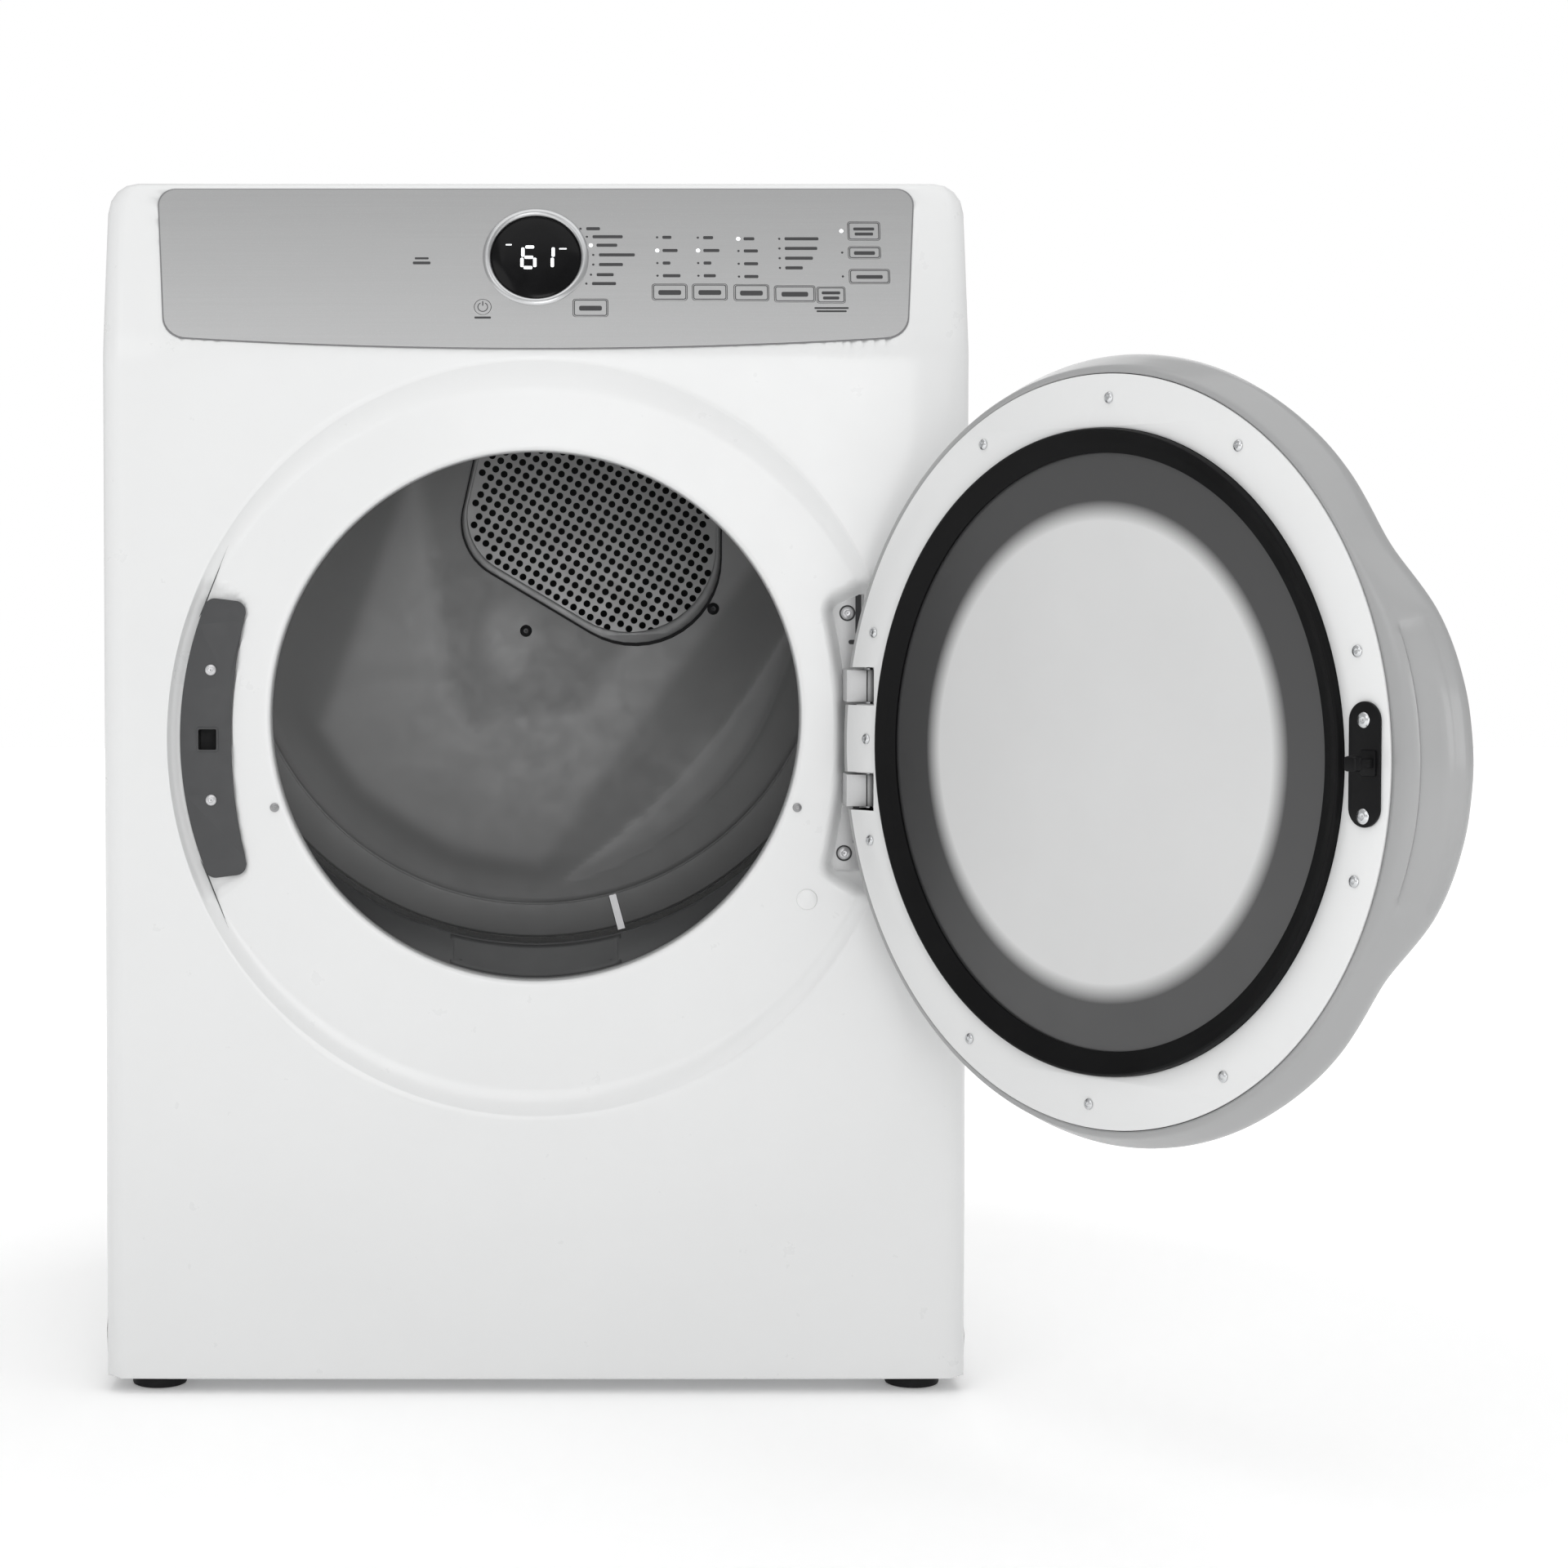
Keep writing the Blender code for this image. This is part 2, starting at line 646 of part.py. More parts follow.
def rear_bulkhead():
    half, low, high = HALF_WIDTH - 0.005, 0.200, 0.945
    angles = frame_directions(DRUM_Z, half, low, high)
    boss = DRUM_R - 0.0055
    loops = [
        rectangle_loop(angles, DRUM_Z, half, low, high, REAR_PLATE_Y),
        ellipse_loop(angles, boss, boss, DRUM_Z, REAR_PLATE_Y),
        ellipse_loop(angles, boss, boss, DRUM_Z, REAR_WALL_Y - 0.006),
        ellipse_loop(angles, 0.283, 0.283, DRUM_Z, REAR_WALL_Y),
    ]
    bulkhead = mesh_object("rear_bulkhead", loft_mesh(loops, True), "drum_grey")
    front_is_outside(bulkhead)
    thicken(bulkhead, 0.001)
    hole = plate("hole", [grille_outline(0.010)], 0.06, facing(REAR_WALL_Y - 0.03), None)
    combine(bulkhead, "DIFFERENCE", hole, "inlet")
    sheet = facing(REAR_WALL_Y - 0.0025 - GAP)
    plate("inlet_grille", [grille_outline(0.0)], 0.0025, sheet, "drum_grey")
    return bulkhead


def grille_outline(inset):
    """A slanted floor that falls to the right, an upright right side and a left side that leans."""
    fall = math.tan(math.radians(30.8))
    left, right = -0.079 + inset, 0.179 - inset
    floor_left = 0.6857 + inset * 1.16
    floor_right = floor_left - (right - left) * fall
    height = 0.205 - 2.3 * inset
    corners = [
        (left, floor_left),
        (right, floor_right),
        (right, floor_right + height),
        (left + 0.046, floor_left + height),
    ]
    return rounded(corners, [0.058, 0.084, 0.050, 0.056], 8)


def heater_box():
    outer = box_mesh((-0.090, REAR_PLATE_Y + 0.0016, 0.520), (0.192, 0.684, 0.900), 0.002, 1)
    box = mesh_object("heater_box", outer, "galvanised")
    inside = box_mesh((-0.0885, REAR_PLATE_Y - 0.01, 0.5215), (0.1905, 0.6825, 0.8985))
    combine(box, "DIFFERENCE", inside, "inside")


def drum():
    outer = DRUM_R + DRUM_T
    profile = [
        (DRUM_MOUTH_R, DRUM_FRONT),
        (outer, DRUM_FRONT),
        (outer, DRUM_BACK),
        (DRUM_R, DRUM_BACK),
        (DRUM_R, DRUM_FRONT + DRUM_T),
        (DRUM_MOUTH_R, DRUM_FRONT + DRUM_T),
    ]
    body = turned("drum", profile, (0, DRUM_Z), "drum_grey", steps=64)
    for number, degrees in enumerate((0, 180), 1):
        section = rounded(
            [
                (VANE_BASE_R, -VANE_WIDTH / 2),
                (VANE_BASE_R, VANE_WIDTH / 2),
                (VANE_BASE_R - VANE_HEIGHT, 0.008),
                (VANE_BASE_R - VANE_HEIGHT, -0.008),
            ],
            [0.002, 0.002, 0.006, 0.006],
            3,
        )
        turn = math.radians(degrees)
        outline = [
            (x * math.cos(turn) - y * math.sin(turn), x * math.sin(turn) + y * math.cos(turn))
            for x, y in section
        ]
        wedge = plate("wedge", [outline], 0.490, facing(0.085), None)
        bmesh.ops.translate(wedge, vec=(0, 0, DRUM_Z), verts=wedge.verts)
        mesh_object(f"drum_vane_{number}", wedge, "drum_grey", pivot=(0, 0, DRUM_Z))
    return body


def rollers(bulkhead):
    """Two rollers at the back that carry the drum, each on a shaft riveted to the bulkhead."""
    reach = DRUM_R + DRUM_T + 0.0004 + ROLLER_R
    for side, name in ((-1, "left"), (1, "right")):
        x = side * reach * math.sin(ROLLER_ANGLE)
        z = DRUM_Z - reach * math.cos(ROLLER_ANGLE)
        profile = [(0.0066, 0.572), (0.034, 0.572), (ROLLER_R, 0.576), (ROLLER_R, 0.592)]
        profile += [(0.034, 0.596), (0.0066, 0.596)]
        turned(f"drum_roller_{name}", profile, (x, z), "rubber_black", steps=28)
        shaft = rod_mesh((x, 0.5882, z), 0.006, 0.0486, "Y", 16)
        combine(bulkhead, "UNION", shaft, f"shaft_{name}")


# ---------------------------------------------------------------- drive and air path
def strand():
    """The right-hand straight run of the belt: its two ends and its outward normal."""
    small, large = Vector((DRIVE_X, DRIVE_Z)), Vector((0, DRUM_Z))
    radius_small = PULLEY_R + 0.0004
    radius_large = DRUM_R + DRUM_T + 0.0010
    along = large - small
    tilt = math.asin((radius_large - radius_small) / along.length)
    heading = math.atan2(along.y, along.x)
    normal_angle = heading - math.pi / 2 - tilt
    normal = Vector((math.cos(normal_angle), math.sin(normal_angle)))
    return small + normal * radius_small, large + normal * radius_large, normal


def belt():
    small, large = Vector((DRIVE_X, DRIVE_Z)), Vector((0, DRUM_Z))
    along = large - small
    heading = math.degrees(math.atan2(along.y, along.x))
    low_radius = PULLEY_R + 0.0004
    high_radius = DRUM_R + DRUM_T + 0.0010
    tilt = math.degrees(math.asin((high_radius - low_radius) / along.length))
    outlines = []
    for extra in (BELT_T, 0.0):
        top = arc(large, high_radius + extra, heading - 90 - tilt, heading + 90 + tilt, 46)
        bottom = arc(small, low_radius + extra, heading + 90 + tilt, heading + 270 - tilt, 9)
        outlines.append(top + bottom)
    plate("drive_belt", outlines, BELT_W, facing(BELT_Y - BELT_W / 2), "rubber_black")


def drive():
    motor = [(0.0090, 0.200), (0.050, 0.200), (0.072, 0.212), (0.072, 0.318)]
    motor += [(0.050, 0.330), (0.0090, 0.330)]
    turned("motor", motor, (DRIVE_X, DRIVE_Z), "galvanised", steps=32)
    cradle = [
        (-0.135, 0.0170),
        (-0.015, 0.0170),
        (-0.020, 0.0980),
        (-0.0232, 0.0980),
    ]
    cradle += arc((DRIVE_X, DRIVE_Z), 0.0735, -47, -133, 9)
    cradle += [(-0.1268, 0.0980), (-0.130, 0.0980)]
    plate("motor_bracket", [cradle], 0.090, facing(0.220), "galvanised")
    shaft = [
        (0, 0.092),
        (0.0075, 0.092),
        (0.0075, 0.350),
        (PULLEY_R + 0.003, 0.352),
        (PULLEY_R + 0.003, 0.358),
        (PULLEY_R, 0.3595),
        (PULLEY_R, 0.3705),
        (PULLEY_R + 0.003, 0.372),
        (PULLEY_R + 0.003, 0.378),
        (0, 0.378),
    ]
    turned("motor_shaft", shaft, (DRIVE_X, DRIVE_Z), "galvanised", steps=20)
    wheel = [(0.0079, 0.082), (0.080, 0.082), (0.080, 0.138), (0.072, 0.138)]
    wheel += [(0.072, 0.089), (0.0150, 0.089), (0.0150, 0.120), (0.0079, 0.120)]
    turned("blower_wheel", wheel, (DRIVE_X, DRIVE_Z), "dark_plastic", steps=32)
    idler()


def idler():
    start, end, normal = strand()
    contact = start.lerp(end, 0.16)
    centre = contact + normal * (BELT_T + 0.0005 + IDLER_R)
    profile = [(0.0045, 0.357), (IDLER_R + 0.002, 0.357), (IDLER_R + 0.002, 0.359)]
    profile += [(IDLER_R, 0.3605), (IDLER_R, 0.3695), (IDLER_R + 0.002, 0.371)]
    profile += [(IDLER_R + 0.002, 0.373), (0.0045, 0.373)]
    turned("idler_pulley", profile, centre, "dark_plastic", steps=24)
    pivot = Vector((centre.x + 0.020, 0.045))
    across = (centre - pivot).normalized()
    sideways = Vector((-across.y, across.x))
    foot, head = pivot - across * 0.010, centre + across * 0.009
    outline = [foot + sideways * 0.010, foot - sideways * 0.010]
    outline += [head - sideways * 0.009, head + sideways * 0.009]
    outline = [tuple(point) for point in outline]
    eye = circle(pivot.x, pivot.y, 0.0045, 12)
    arm_plate = plate("arm", [rounded(outline, 0.006, 4), eye], 0.004, facing(0.375), None)
    arm = mesh_object("idler_arm", arm_plate, "galvanised", pivot=(pivot.x, 0.377, pivot.y))
    axle = rod_mesh((centre.x, 0.3665, centre.y), 0.0040, 0.0215, "Y", 12)
    combine(arm, "UNION", axle, "axle")
    post = rod_mesh((pivot.x, 0.377, pivot.y), 0.0040, 0.016, "Y", 12)
    block = box_mesh(
        (pivot.x - 0.016, 0.3840, 0.0170), (pivot.x + 0.016, 0.3900, pivot.y + 0.012), 0.001, 1
    )
    bracket = mesh_object("idler_bracket", block, "galvanised")
    combine(bracket, "UNION", post, "post")


def blower():
    """A scroll housing open to the lint duct at the front, with its outlet on the right."""
    cup = rod_mesh((DRIVE_X, 0.1085, DRIVE_Z), 0.100, 0.083, "Y", 40)
    housing = mesh_object("blower_housing", cup, "dark_plastic")
    throat = box_mesh((DRIVE_X + 0.03, 0.0670, 0.050), (0.145, 0.150, 0.158))
    combine(housing, "UNION", throat, "throat")
    combine(housing, "DIFFERENCE", rod_mesh((DRIVE_X, 0.1085, DRIVE_Z), 0.0975, 0.078, "Y", 40), "scroll")
    hollow = box_mesh((DRIVE_X + 0.04, 0.0695, 0.0525), (0.1425, 0.1475, 0.1555))
    combine(housing, "DIFFERENCE", hollow, "hollow")
    combine(housing, "DIFFERENCE", rod_mesh((DRIVE_X, 0.068, DRIVE_Z), 0.050, 0.02, "Y", 32), "inlet")
    combine(housing, "DIFFERENCE", rod_mesh((DRIVE_X, 0.150, DRIVE_Z), 0.0095, 0.02, "Y", 16), "bore")
    outlet = rod_mesh((DUCT_X, 0.150, DUCT_Z), DUCT_R - 0.002, 0.02, "Y", 36)
    combine(housing, "DIFFERENCE", outlet, "outlet")
    pipe = [
        (DUCT_R - 0.001, 0.150 + GAP),
        (DUCT_R, 0.150 + GAP),
        (DUCT_R, 0.712),
        (DUCT_R - 0.001, 0.712),
    ]
    turned("exhaust_duct", pipe, (DUCT_X, DUCT_Z), "galvanised", steps=40)


# ---------------------------------------------------------------- latch and hinge
def latch():
    outer = arc((0.006, LATCH_Z + 0.001), 0.2875, 157.2, 202.8, 9)
    inner = arc((0.185, LATCH_Z + 0.001), 0.4260, 194.6, 165.4, 7)
    outline = rounded(outer + inner, 0.0085)
    hole = rectangle(-0.2593, LATCH_Z, 0.0155, 0.0176)
    plate("latch_plate", [outline, hole], 0.0020, facing(RING_Y - 0.0023), "latch_grey")
    catch = box_mesh((-0.2496, 0.0085, LATCH_Z - 0.008), (-0.2440, 0.0170, LATCH_Z + 0.008), 0.001, 1)
    mesh_object("latch_catch", catch, "dark_plastic", pivot=(-0.247, 0.012, LATCH_Z))


def arm_heights():
    return (
        (HINGE_Z - ARM_OUT, HINGE_Z - ARM_IN),
        (HINGE_Z + ARM_IN, HINGE_Z + ARM_OUT),
    )


def hinge_bracket():
    """A plate in the pocket with two arms that reach forward to the pin."""
    back = 0.0200
    base = box_mesh((0.2345, back - 0.002, 0.417), (0.2610, back, 0.641), 0.0006, 1)
    bracket = mesh_object("hinge_bracket", base, "galvanised")
    outline = [(0.2575, back - 0.001), (0.2435, back - 0.001), (0.2435, HINGE_Y - BARREL_R)]
    outline += arc((HINGE_X, HINGE_Y), BARREL_R, -90, 90, 9)
    outline += [(0.2575, HINGE_Y + BARREL_R)]
    bore = circle(HINGE_X, HINGE_Y, PIN_R + 0.0004, 16)
    for number, (low, high) in enumerate(arm_heights(), 1):
        level = Matrix.Translation((0, 0, high))
        arm = plate("arm", [outline, bore], high - low, level, None)
        combine(bracket, "UNION", arm, f"arm_{number}")
    pin = rod_mesh((HINGE_X, HINGE_Y, HINGE_Z), PIN_R, 2 * ARM_OUT + 0.004, "Z", 12)
    mesh_object("hinge_pin", pin, "chrome_trim", pivot=(HINGE_X, HINGE_Y, HINGE_Z))


# ---------------------------------------------------------------- door, modelled closed
def grip(degrees):
    """How far the rim stands out past its circle, at an angle from the grip's middle."""
    away = abs(degrees)
    if away < 23:
        return 0.026 - 0.016 * (away / 23) ** 2
    if away < 30:
        return 0.010 - 0.015 * (away - 23) / 7
    if away < 40:
        return -0.005 * (40 - away) / 10
    return 0.0


def door_shell(pivot):
    """The outer shell: a rounded rim with a grip on its free edge and a hole for the window."""
    profile = [
        (0.2700, -0.0074, 0.0),
        (0.2772, -0.0100, 0.4),
        (0.2845, -0.0270, 1.0),
        (0.2770, -0.0450, 1.0),
        (0.2570, -0.0600, 0.5),
        (0.2280, -0.0685, 0.1),
        (0.1935, -0.0710, 0.0),
    ]
    angles = [5 * i for i in range(72)]
    loops = []
    for radius, y, share in profile:
        loop = []
        for degrees in angles:
            reach = radius + share * grip(180 - degrees)
            turn = math.radians(degrees)
            loop.append((reach * math.cos(turn), y, DOOR_Z + reach * math.sin(turn)))
        loops.append(loop)
    shell = mesh_object("door_shell", loft_mesh(loops), "door_white", pivot)
    front_is_outside(shell)
    thicken(shell, 0.0022)
    shell.data.shade_smooth()
    for number, (low, high) in enumerate(arm_heights(), 1):
        slot = box_mesh((0.2375, -0.065, low - 0.0022), (0.32, 0.02, high + 0.0022))
        combine(shell, "DIFFERENCE", slot, f"slot_{number}")


def door_panel(pivot):
    ring = [circle(0, DOOR_Z, 0.2690, 64), circle(0, DOOR_Z, 0.2318, 64)]
    panel_mesh = plate("ring", ring, 0.0025, facing(PANEL_Y - 0.0025), None)
    panel = mesh_object("door_inner_panel", panel_mesh, "door_white", pivot)
    for number, (low, high) in enumerate(arm_heights(), 1):
        notch = box_mesh((0.2375, -0.03, low - 0.0022), (0.32, 0.02, high + 0.0022))
        combine(panel, "DIFFERENCE", notch, f"notch_{number}")


def door():
    pivot = empty("door_pivot", (HINGE_X, HINGE_Y, 0))
    door_shell(pivot)
    door_panel(pivot)
    centre = (0, DOOR_Z)
    seal = [
        (0.2141, PANEL_Y - 0.0028),
        (0.2141, PANEL_Y - 0.0018),
        (0.2230, PANEL_Y + 0.0022),
        (0.2298, PANEL_Y + 0.0055),
        (0.2315, PANEL_Y + 0.0035),
        (0.2315, PANEL_Y - 0.0028),
    ]
    turned("door_seal", seal, centre, "rubber_black", pivot, 56)
    inner = [(0, -0.0110), (0.2308, -0.0110), (0.2308, -0.0071), (0, -0.0071)]
    turned("door_window_inner", inner, centre, "door_glass", pivot, 56)
    outer = [(0, -0.0705), (0.1930, -0.0705), (0.1930, -0.0665), (0, -0.0665)]
    turned("door_window_outer", outer, centre, "door_glass", pivot, 56)

    stadium = arc((STRIKE_X, DOOR_Z + 0.029), 0.0125, 0, 180, 9)
    stadium += arc((STRIKE_X, DOOR_Z - 0.029), 0.0125, 180, 360, 9)
    keeper = plate("keeper", [stadium], 0.003, facing(PANEL_Y + GAP), None)
    strike = mesh_object("strike_plate", keeper, "dark_plastic", pivot)
    hook_low, hook_high = (-0.2600, PANEL_Y + 0.001, LATCH_Z - 0.003), (-0.2540, 0.0180, LATCH_Z + 0.003)
    combine(strike, "UNION", box_mesh(hook_low, hook_high), "stem")
    knob = box_mesh((-0.2605, 0.0120, LATCH_Z - 0.005), (-0.2505, 0.0190, LATCH_Z + 0.005), 0.0015, 1)
    combine(strike, "UNION", knob, "knob")

    low, high = HINGE_Z - ARM_IN + 0.0016, HINGE_Z + ARM_IN - 0.0016
    flat = PANEL_Y - 0.0028
    outline = [(0.2325, flat), (0.2325, flat - 0.003), (HINGE_X - BARREL_R, flat - 0.003)]
    outline += arc((HINGE_X, HINGE_Y), BARREL_R, 180, 450, 15)
    outline += [(HINGE_X, flat)]
    bore = circle(HINGE_X, HINGE_Y, PIN_R + 0.0004, 16)
    level = Matrix.Translation((0, 0, high))
    plate("door_hinge_leaf", [outline, bore], high - low, level, "galvanised", pivot)
    pivot.rotation_euler.z = DOOR_OPEN


# ---------------------------------------------------------------- footprint
def stand_on_origin():
    """Moves everything so that the middle of the footprint is above the origin."""
    bpy.context.view_layer.update()
    graph = bpy.context.evaluated_depsgraph_get()
    points = []
    for obj in parts.objects:
        if obj.type == "MESH":
            solid = obj.evaluated_get(graph)
            points += [solid.matrix_world @ vertex.co for vertex in solid.data.vertices]
    low = [min(point[k] for point in points) for k in range(3)]
    high = [max(point[k] for point in points) for k in range(3)]
    shift = Vector((-(low[0] + high[0]) / 2, -(low[1] + high[1]) / 2, -low[2]))
    for obj in list(parts.objects) + list(cutters.objects):
        if obj.parent is None:
            obj.location += shift
    print("footprint shift", [round(value, 6) for value in shift])


def main():
    clear_scene()
    front_panel()
    side_panels()
    top_panel()
    rear_panel()
    base_pan()
    feet()
    console()
    front_bulkhead()
    lint_parts()
    sensor_bar()
    bulkhead = rear_bulkhead()
    heater_box()
    drum()
    rollers(bulkhead)
    belt()
    drive()
    blower()
    latch()
    hinge_bracket()
    door()
    stand_on_origin()


main()
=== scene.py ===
"""Looks of the front-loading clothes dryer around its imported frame.

Positions are worked out in cabinet axes: X to the right seen from the front, Y to the back,
Z up, with Y = 0 on the face of the front panel and Z = 0 on the floor. SHIFT takes them into
the row frame. All sizes are in metres.
"""

import math

import bmesh
import bpy
import numpy as np
from mathutils import Matrix, Vector


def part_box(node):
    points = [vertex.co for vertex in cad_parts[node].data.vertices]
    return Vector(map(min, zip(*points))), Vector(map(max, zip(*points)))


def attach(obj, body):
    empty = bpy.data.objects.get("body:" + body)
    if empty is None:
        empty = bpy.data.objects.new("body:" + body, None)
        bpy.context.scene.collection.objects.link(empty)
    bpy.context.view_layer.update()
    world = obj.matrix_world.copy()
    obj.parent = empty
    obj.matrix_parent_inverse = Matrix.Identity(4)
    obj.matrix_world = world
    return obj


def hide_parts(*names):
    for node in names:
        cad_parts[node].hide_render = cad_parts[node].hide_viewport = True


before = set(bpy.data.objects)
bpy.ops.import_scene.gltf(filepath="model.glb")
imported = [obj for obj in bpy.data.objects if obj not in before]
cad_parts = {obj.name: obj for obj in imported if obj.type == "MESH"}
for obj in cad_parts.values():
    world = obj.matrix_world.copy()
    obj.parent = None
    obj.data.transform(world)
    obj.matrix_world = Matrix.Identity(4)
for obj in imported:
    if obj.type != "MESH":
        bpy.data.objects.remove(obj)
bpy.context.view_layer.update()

# ---------------------------------------------------------------- where things are
# In cabinet axes. RECESS and RING belong to the oval round the opening. S runs up the console's
# leaning plane from its foot at CONSOLE_Z. Keys are (x, s, width, height), and the power key is
# (x, s, radius).
top_low, top_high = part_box("top_panel")
SHIFT = Vector(((top_low.x + top_high.x) / 2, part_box("front_panel")[0].y, 0))
HALF = (top_high.x - top_low.x) / 2
TOP = top_high.z
BACK = top_high.y - SHIFT.y
PANEL_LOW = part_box("front_panel")[0].z
PANEL_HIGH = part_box("front_panel")[1].z
CONSOLE_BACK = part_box("console_housing")[1].y - SHIFT.y
RETURN = 0.022
LEAN = math.radians(19)
CONSOLE_Z = 0.829
OPENING_R = 0.210
OPENING_Z = 0.540
RING_Y = 0.006
RECESS_Z = 0.5217
RECESS_OUT = (0.2915, 0.2988)
RECESS_IN = (0.2830, 0.2757)
DISPLAY_S = 0.0795
LENS_R = 0.0353
BEZEL_R = 0.0420
DRUM_Z = 0.626
DRUM_R = 0.3220
DRUM_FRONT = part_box("drum")[0].y - SHIFT.y
DRUM_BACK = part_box("drum")[1].y - SHIFT.y
REAR_WALL = 0.594
REAR_PLATE = 0.612
LIP_R = 0.2715
DOOR_Z = 0.521
PANEL_Y = -0.004
HINGE_Z = 0.524
DOOR_OPEN = math.radians(125.1)
pin_low, pin_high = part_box("hinge_pin")
HINGE = (pin_low + pin_high) / 2
HINGE_X = HINGE.x - SHIFT.x
HINGE_Y = HINGE.y - SHIFT.y
LATCH_Z = 0.522
SHEET = 0.0009
KEYS = {
    "key_cycles": (0.0432, 0.0355, 0.0273, 0.0150),
    "key_temperature": (0.1059, 0.0490, 0.0273, 0.0140),
    "key_level": (0.1376, 0.0490, 0.0273, 0.0140),
    "key_time": (0.1705, 0.0485, 0.0273, 0.0140),
    "key_options": (0.2048, 0.0475, 0.0320, 0.0140),
    "key_select": (0.2334, 0.0465, 0.0222, 0.0140),
    "key_start": (0.2609, 0.1020, 0.0253, 0.0160),
    "key_cancel": (0.2609, 0.0832, 0.0253, 0.0104),
    "key_add_time": (0.2643, 0.0625, 0.0318, 0.0124),
}
KEY_POWER = (-0.0419, 0.0362, 0.0065)
CAP_DEEP, CAP_FACE = 0.0019, 0.0009
PRINT = 0.00006


# ---------------------------------------------------------------- materials
class Nodes:
    """A short way to write a node material."""

    def __init__(self, name):
        self.material = bpy.data.materials.new(name)
        self.material.use_nodes = True
        self.tree = self.material.node_tree
        self.shader = self.tree.nodes["Principled BSDF"]
        self.place = self.add("ShaderNodeTexCoord").outputs["Object"]

    def add(self, kind, inputs=None, **settings):
        """A node of that kind, its inputs set or linked."""
        node = self.tree.nodes.new(kind)
        for key, value in settings.items():
            setattr(node, key, value)
        for key, value in (inputs or {}).items():
            self.set(node, key, value)
        return node

    def set(self, node, key, value):
        """Sets one input, or links it when the value is another node's output."""
        socket = node.inputs[key]
        if isinstance(value, bpy.types.NodeSocket):
            self.tree.links.new(value, socket)
        else:
            socket.default_value = value

    def scaled(self, x, y, z):
        """The place, stretched along each axis."""
        node = self.add("ShaderNodeMapping", {"Vector": self.place, "Scale": (x, y, z)})
        return node.outputs["Vector"]

    def noise(self, scale, detail=2.0, rough=0.5, vector=None, distortion=0.0):
        """Smooth noise about 0.5."""
        inputs = {"Vector": vector or self.place, "Scale": scale, "Detail": detail}
        inputs.update({"Roughness": rough, "Distortion": distortion})
        return self.add("ShaderNodeTexNoise", inputs).outputs["Fac"]

    def part(self, axis):
        """One coordinate of the place: 0, 1 or 2 for X, Y or Z."""
        return self.add("ShaderNodeSeparateXYZ", {"Vector": self.place}).outputs[axis]

    def spread(self, value, low=0.3, high=0.7, to_low=0.0, to_high=1.0):
        """The value, taken from one range into another and held inside it."""
        inputs = {"Value": value, "From Min": low, "From Max": high}
        inputs.update({"To Min": to_low, "To Max": to_high})
        return self.add("ShaderNodeMapRange", inputs).outputs["Result"]

    def math(self, operation, a, b=0.0):
        """One sum on two values."""
        node = self.add("ShaderNodeMath", {0: a, 1: b}, operation=operation)
        return node.outputs[0]

    def reach(self, a, b):
        """How far (a, b) lies from the origin."""
        squares = self.math("MULTIPLY", a, a), self.math("MULTIPLY", b, b)
        return self.math("SQRT", self.math("ADD", *squares))

    def mix(self, factor, a, b):
        """Colour a at 0 and colour b at 1."""
        node = self.add("ShaderNodeMix", data_type="RGBA")
        self.set(node, 0, factor)
        self.set(node, 6, a if isinstance(a, bpy.types.NodeSocket) else (*a, 1))
        self.set(node, 7, b if isinstance(b, bpy.types.NodeSocket) else (*b, 1))
        return node.outputs[2]

    def shaded(self, value, colour, dark):
        """The colour, a little darker where the value is low."""
        return self.mix(self.spread(value), [c * dark for c in colour], colour)

    def bump(self, height, strength, distance):
        """A normal that follows the height."""
        inputs = {"Height": height, "Strength": strength, "Distance": distance}
        return self.add("ShaderNodeBump", inputs).outputs["Normal"]

    def finish(self, **sockets):
        """Sets the shader's sockets and gives the material."""
        names = {
            "color": "Base Color",
            "roughness": "Roughness",
            "metallic": "Metallic",
            "normal": "Normal",
            "coat": "Coat Weight",
            "coat_roughness": "Coat Roughness",
            "sheen": "Sheen Weight",
            "specular": "Specular IOR Level",
            "emission": "Emission Color",
            "glow": "Emission Strength",
        }
        for key, value in sockets.items():
            if key in ("color", "emission") and not isinstance(value, bpy.types.NodeSocket):
                value = (*value, 1)
            self.set(self.shader, names[key], value)
        return self.material


def enamel(name, colour, roughness=0.30, face=None):
    """Painted sheet steel: faint orange peel, and a sheen that varies a little.

    face, when given, is the white of a door's broad outer side; colour is then the painted shade on
    the rim behind it.
    """
    n = Nodes(name)
    peel = n.noise(420, 1.5, 0.5)
    broad = n.noise(5.5, 3.0, 0.5)
    shade = n.mix(n.spread(broad, 0.35, 0.65), [c * 0.985 for c in colour], colour)
    rough = n.spread(n.noise(38, 4.0, 0.6), 0.3, 0.7, roughness - 0.03, roughness + 0.04)
    if face:
        # painted shade: toward the back the rim keeps the darker colour, the broad outer side the
        # white face
        shade = n.mix(n.spread(n.part(1), -0.066, -0.044, 1.0, 0.0), shade, face)
    return n.finish(
        color=shade,
        roughness=rough,
        normal=n.bump(peel, 0.022, 0.0004),
        coat=0.25,
        coat_roughness=0.12,
        specular=0.45,
    )


def powder_coat(name, colour, roughness=0.5, metallic=0.35):
    """Grey coated steel with a fine speckle and slow changes of tone."""
    n = Nodes(name)
    speckle = n.noise(900, 2.0, 0.7)
    slow = n.noise(6.0, 3.0, 0.5)
    tone = n.shaded(slow, colour, 0.93)
    tone = n.mix(n.spread(speckle, 0.60, 0.75, 0.0, 0.35), tone, [c * 1.35 for c in colour])
    rough = n.spread(n.noise(60, 3.0, 0.6), 0.3, 0.7, roughness - 0.05, roughness + 0.06)
    return n.finish(
        color=tone, roughness=rough, metallic=metallic, normal=n.bump(speckle, 0.10, 0.0003)
    )


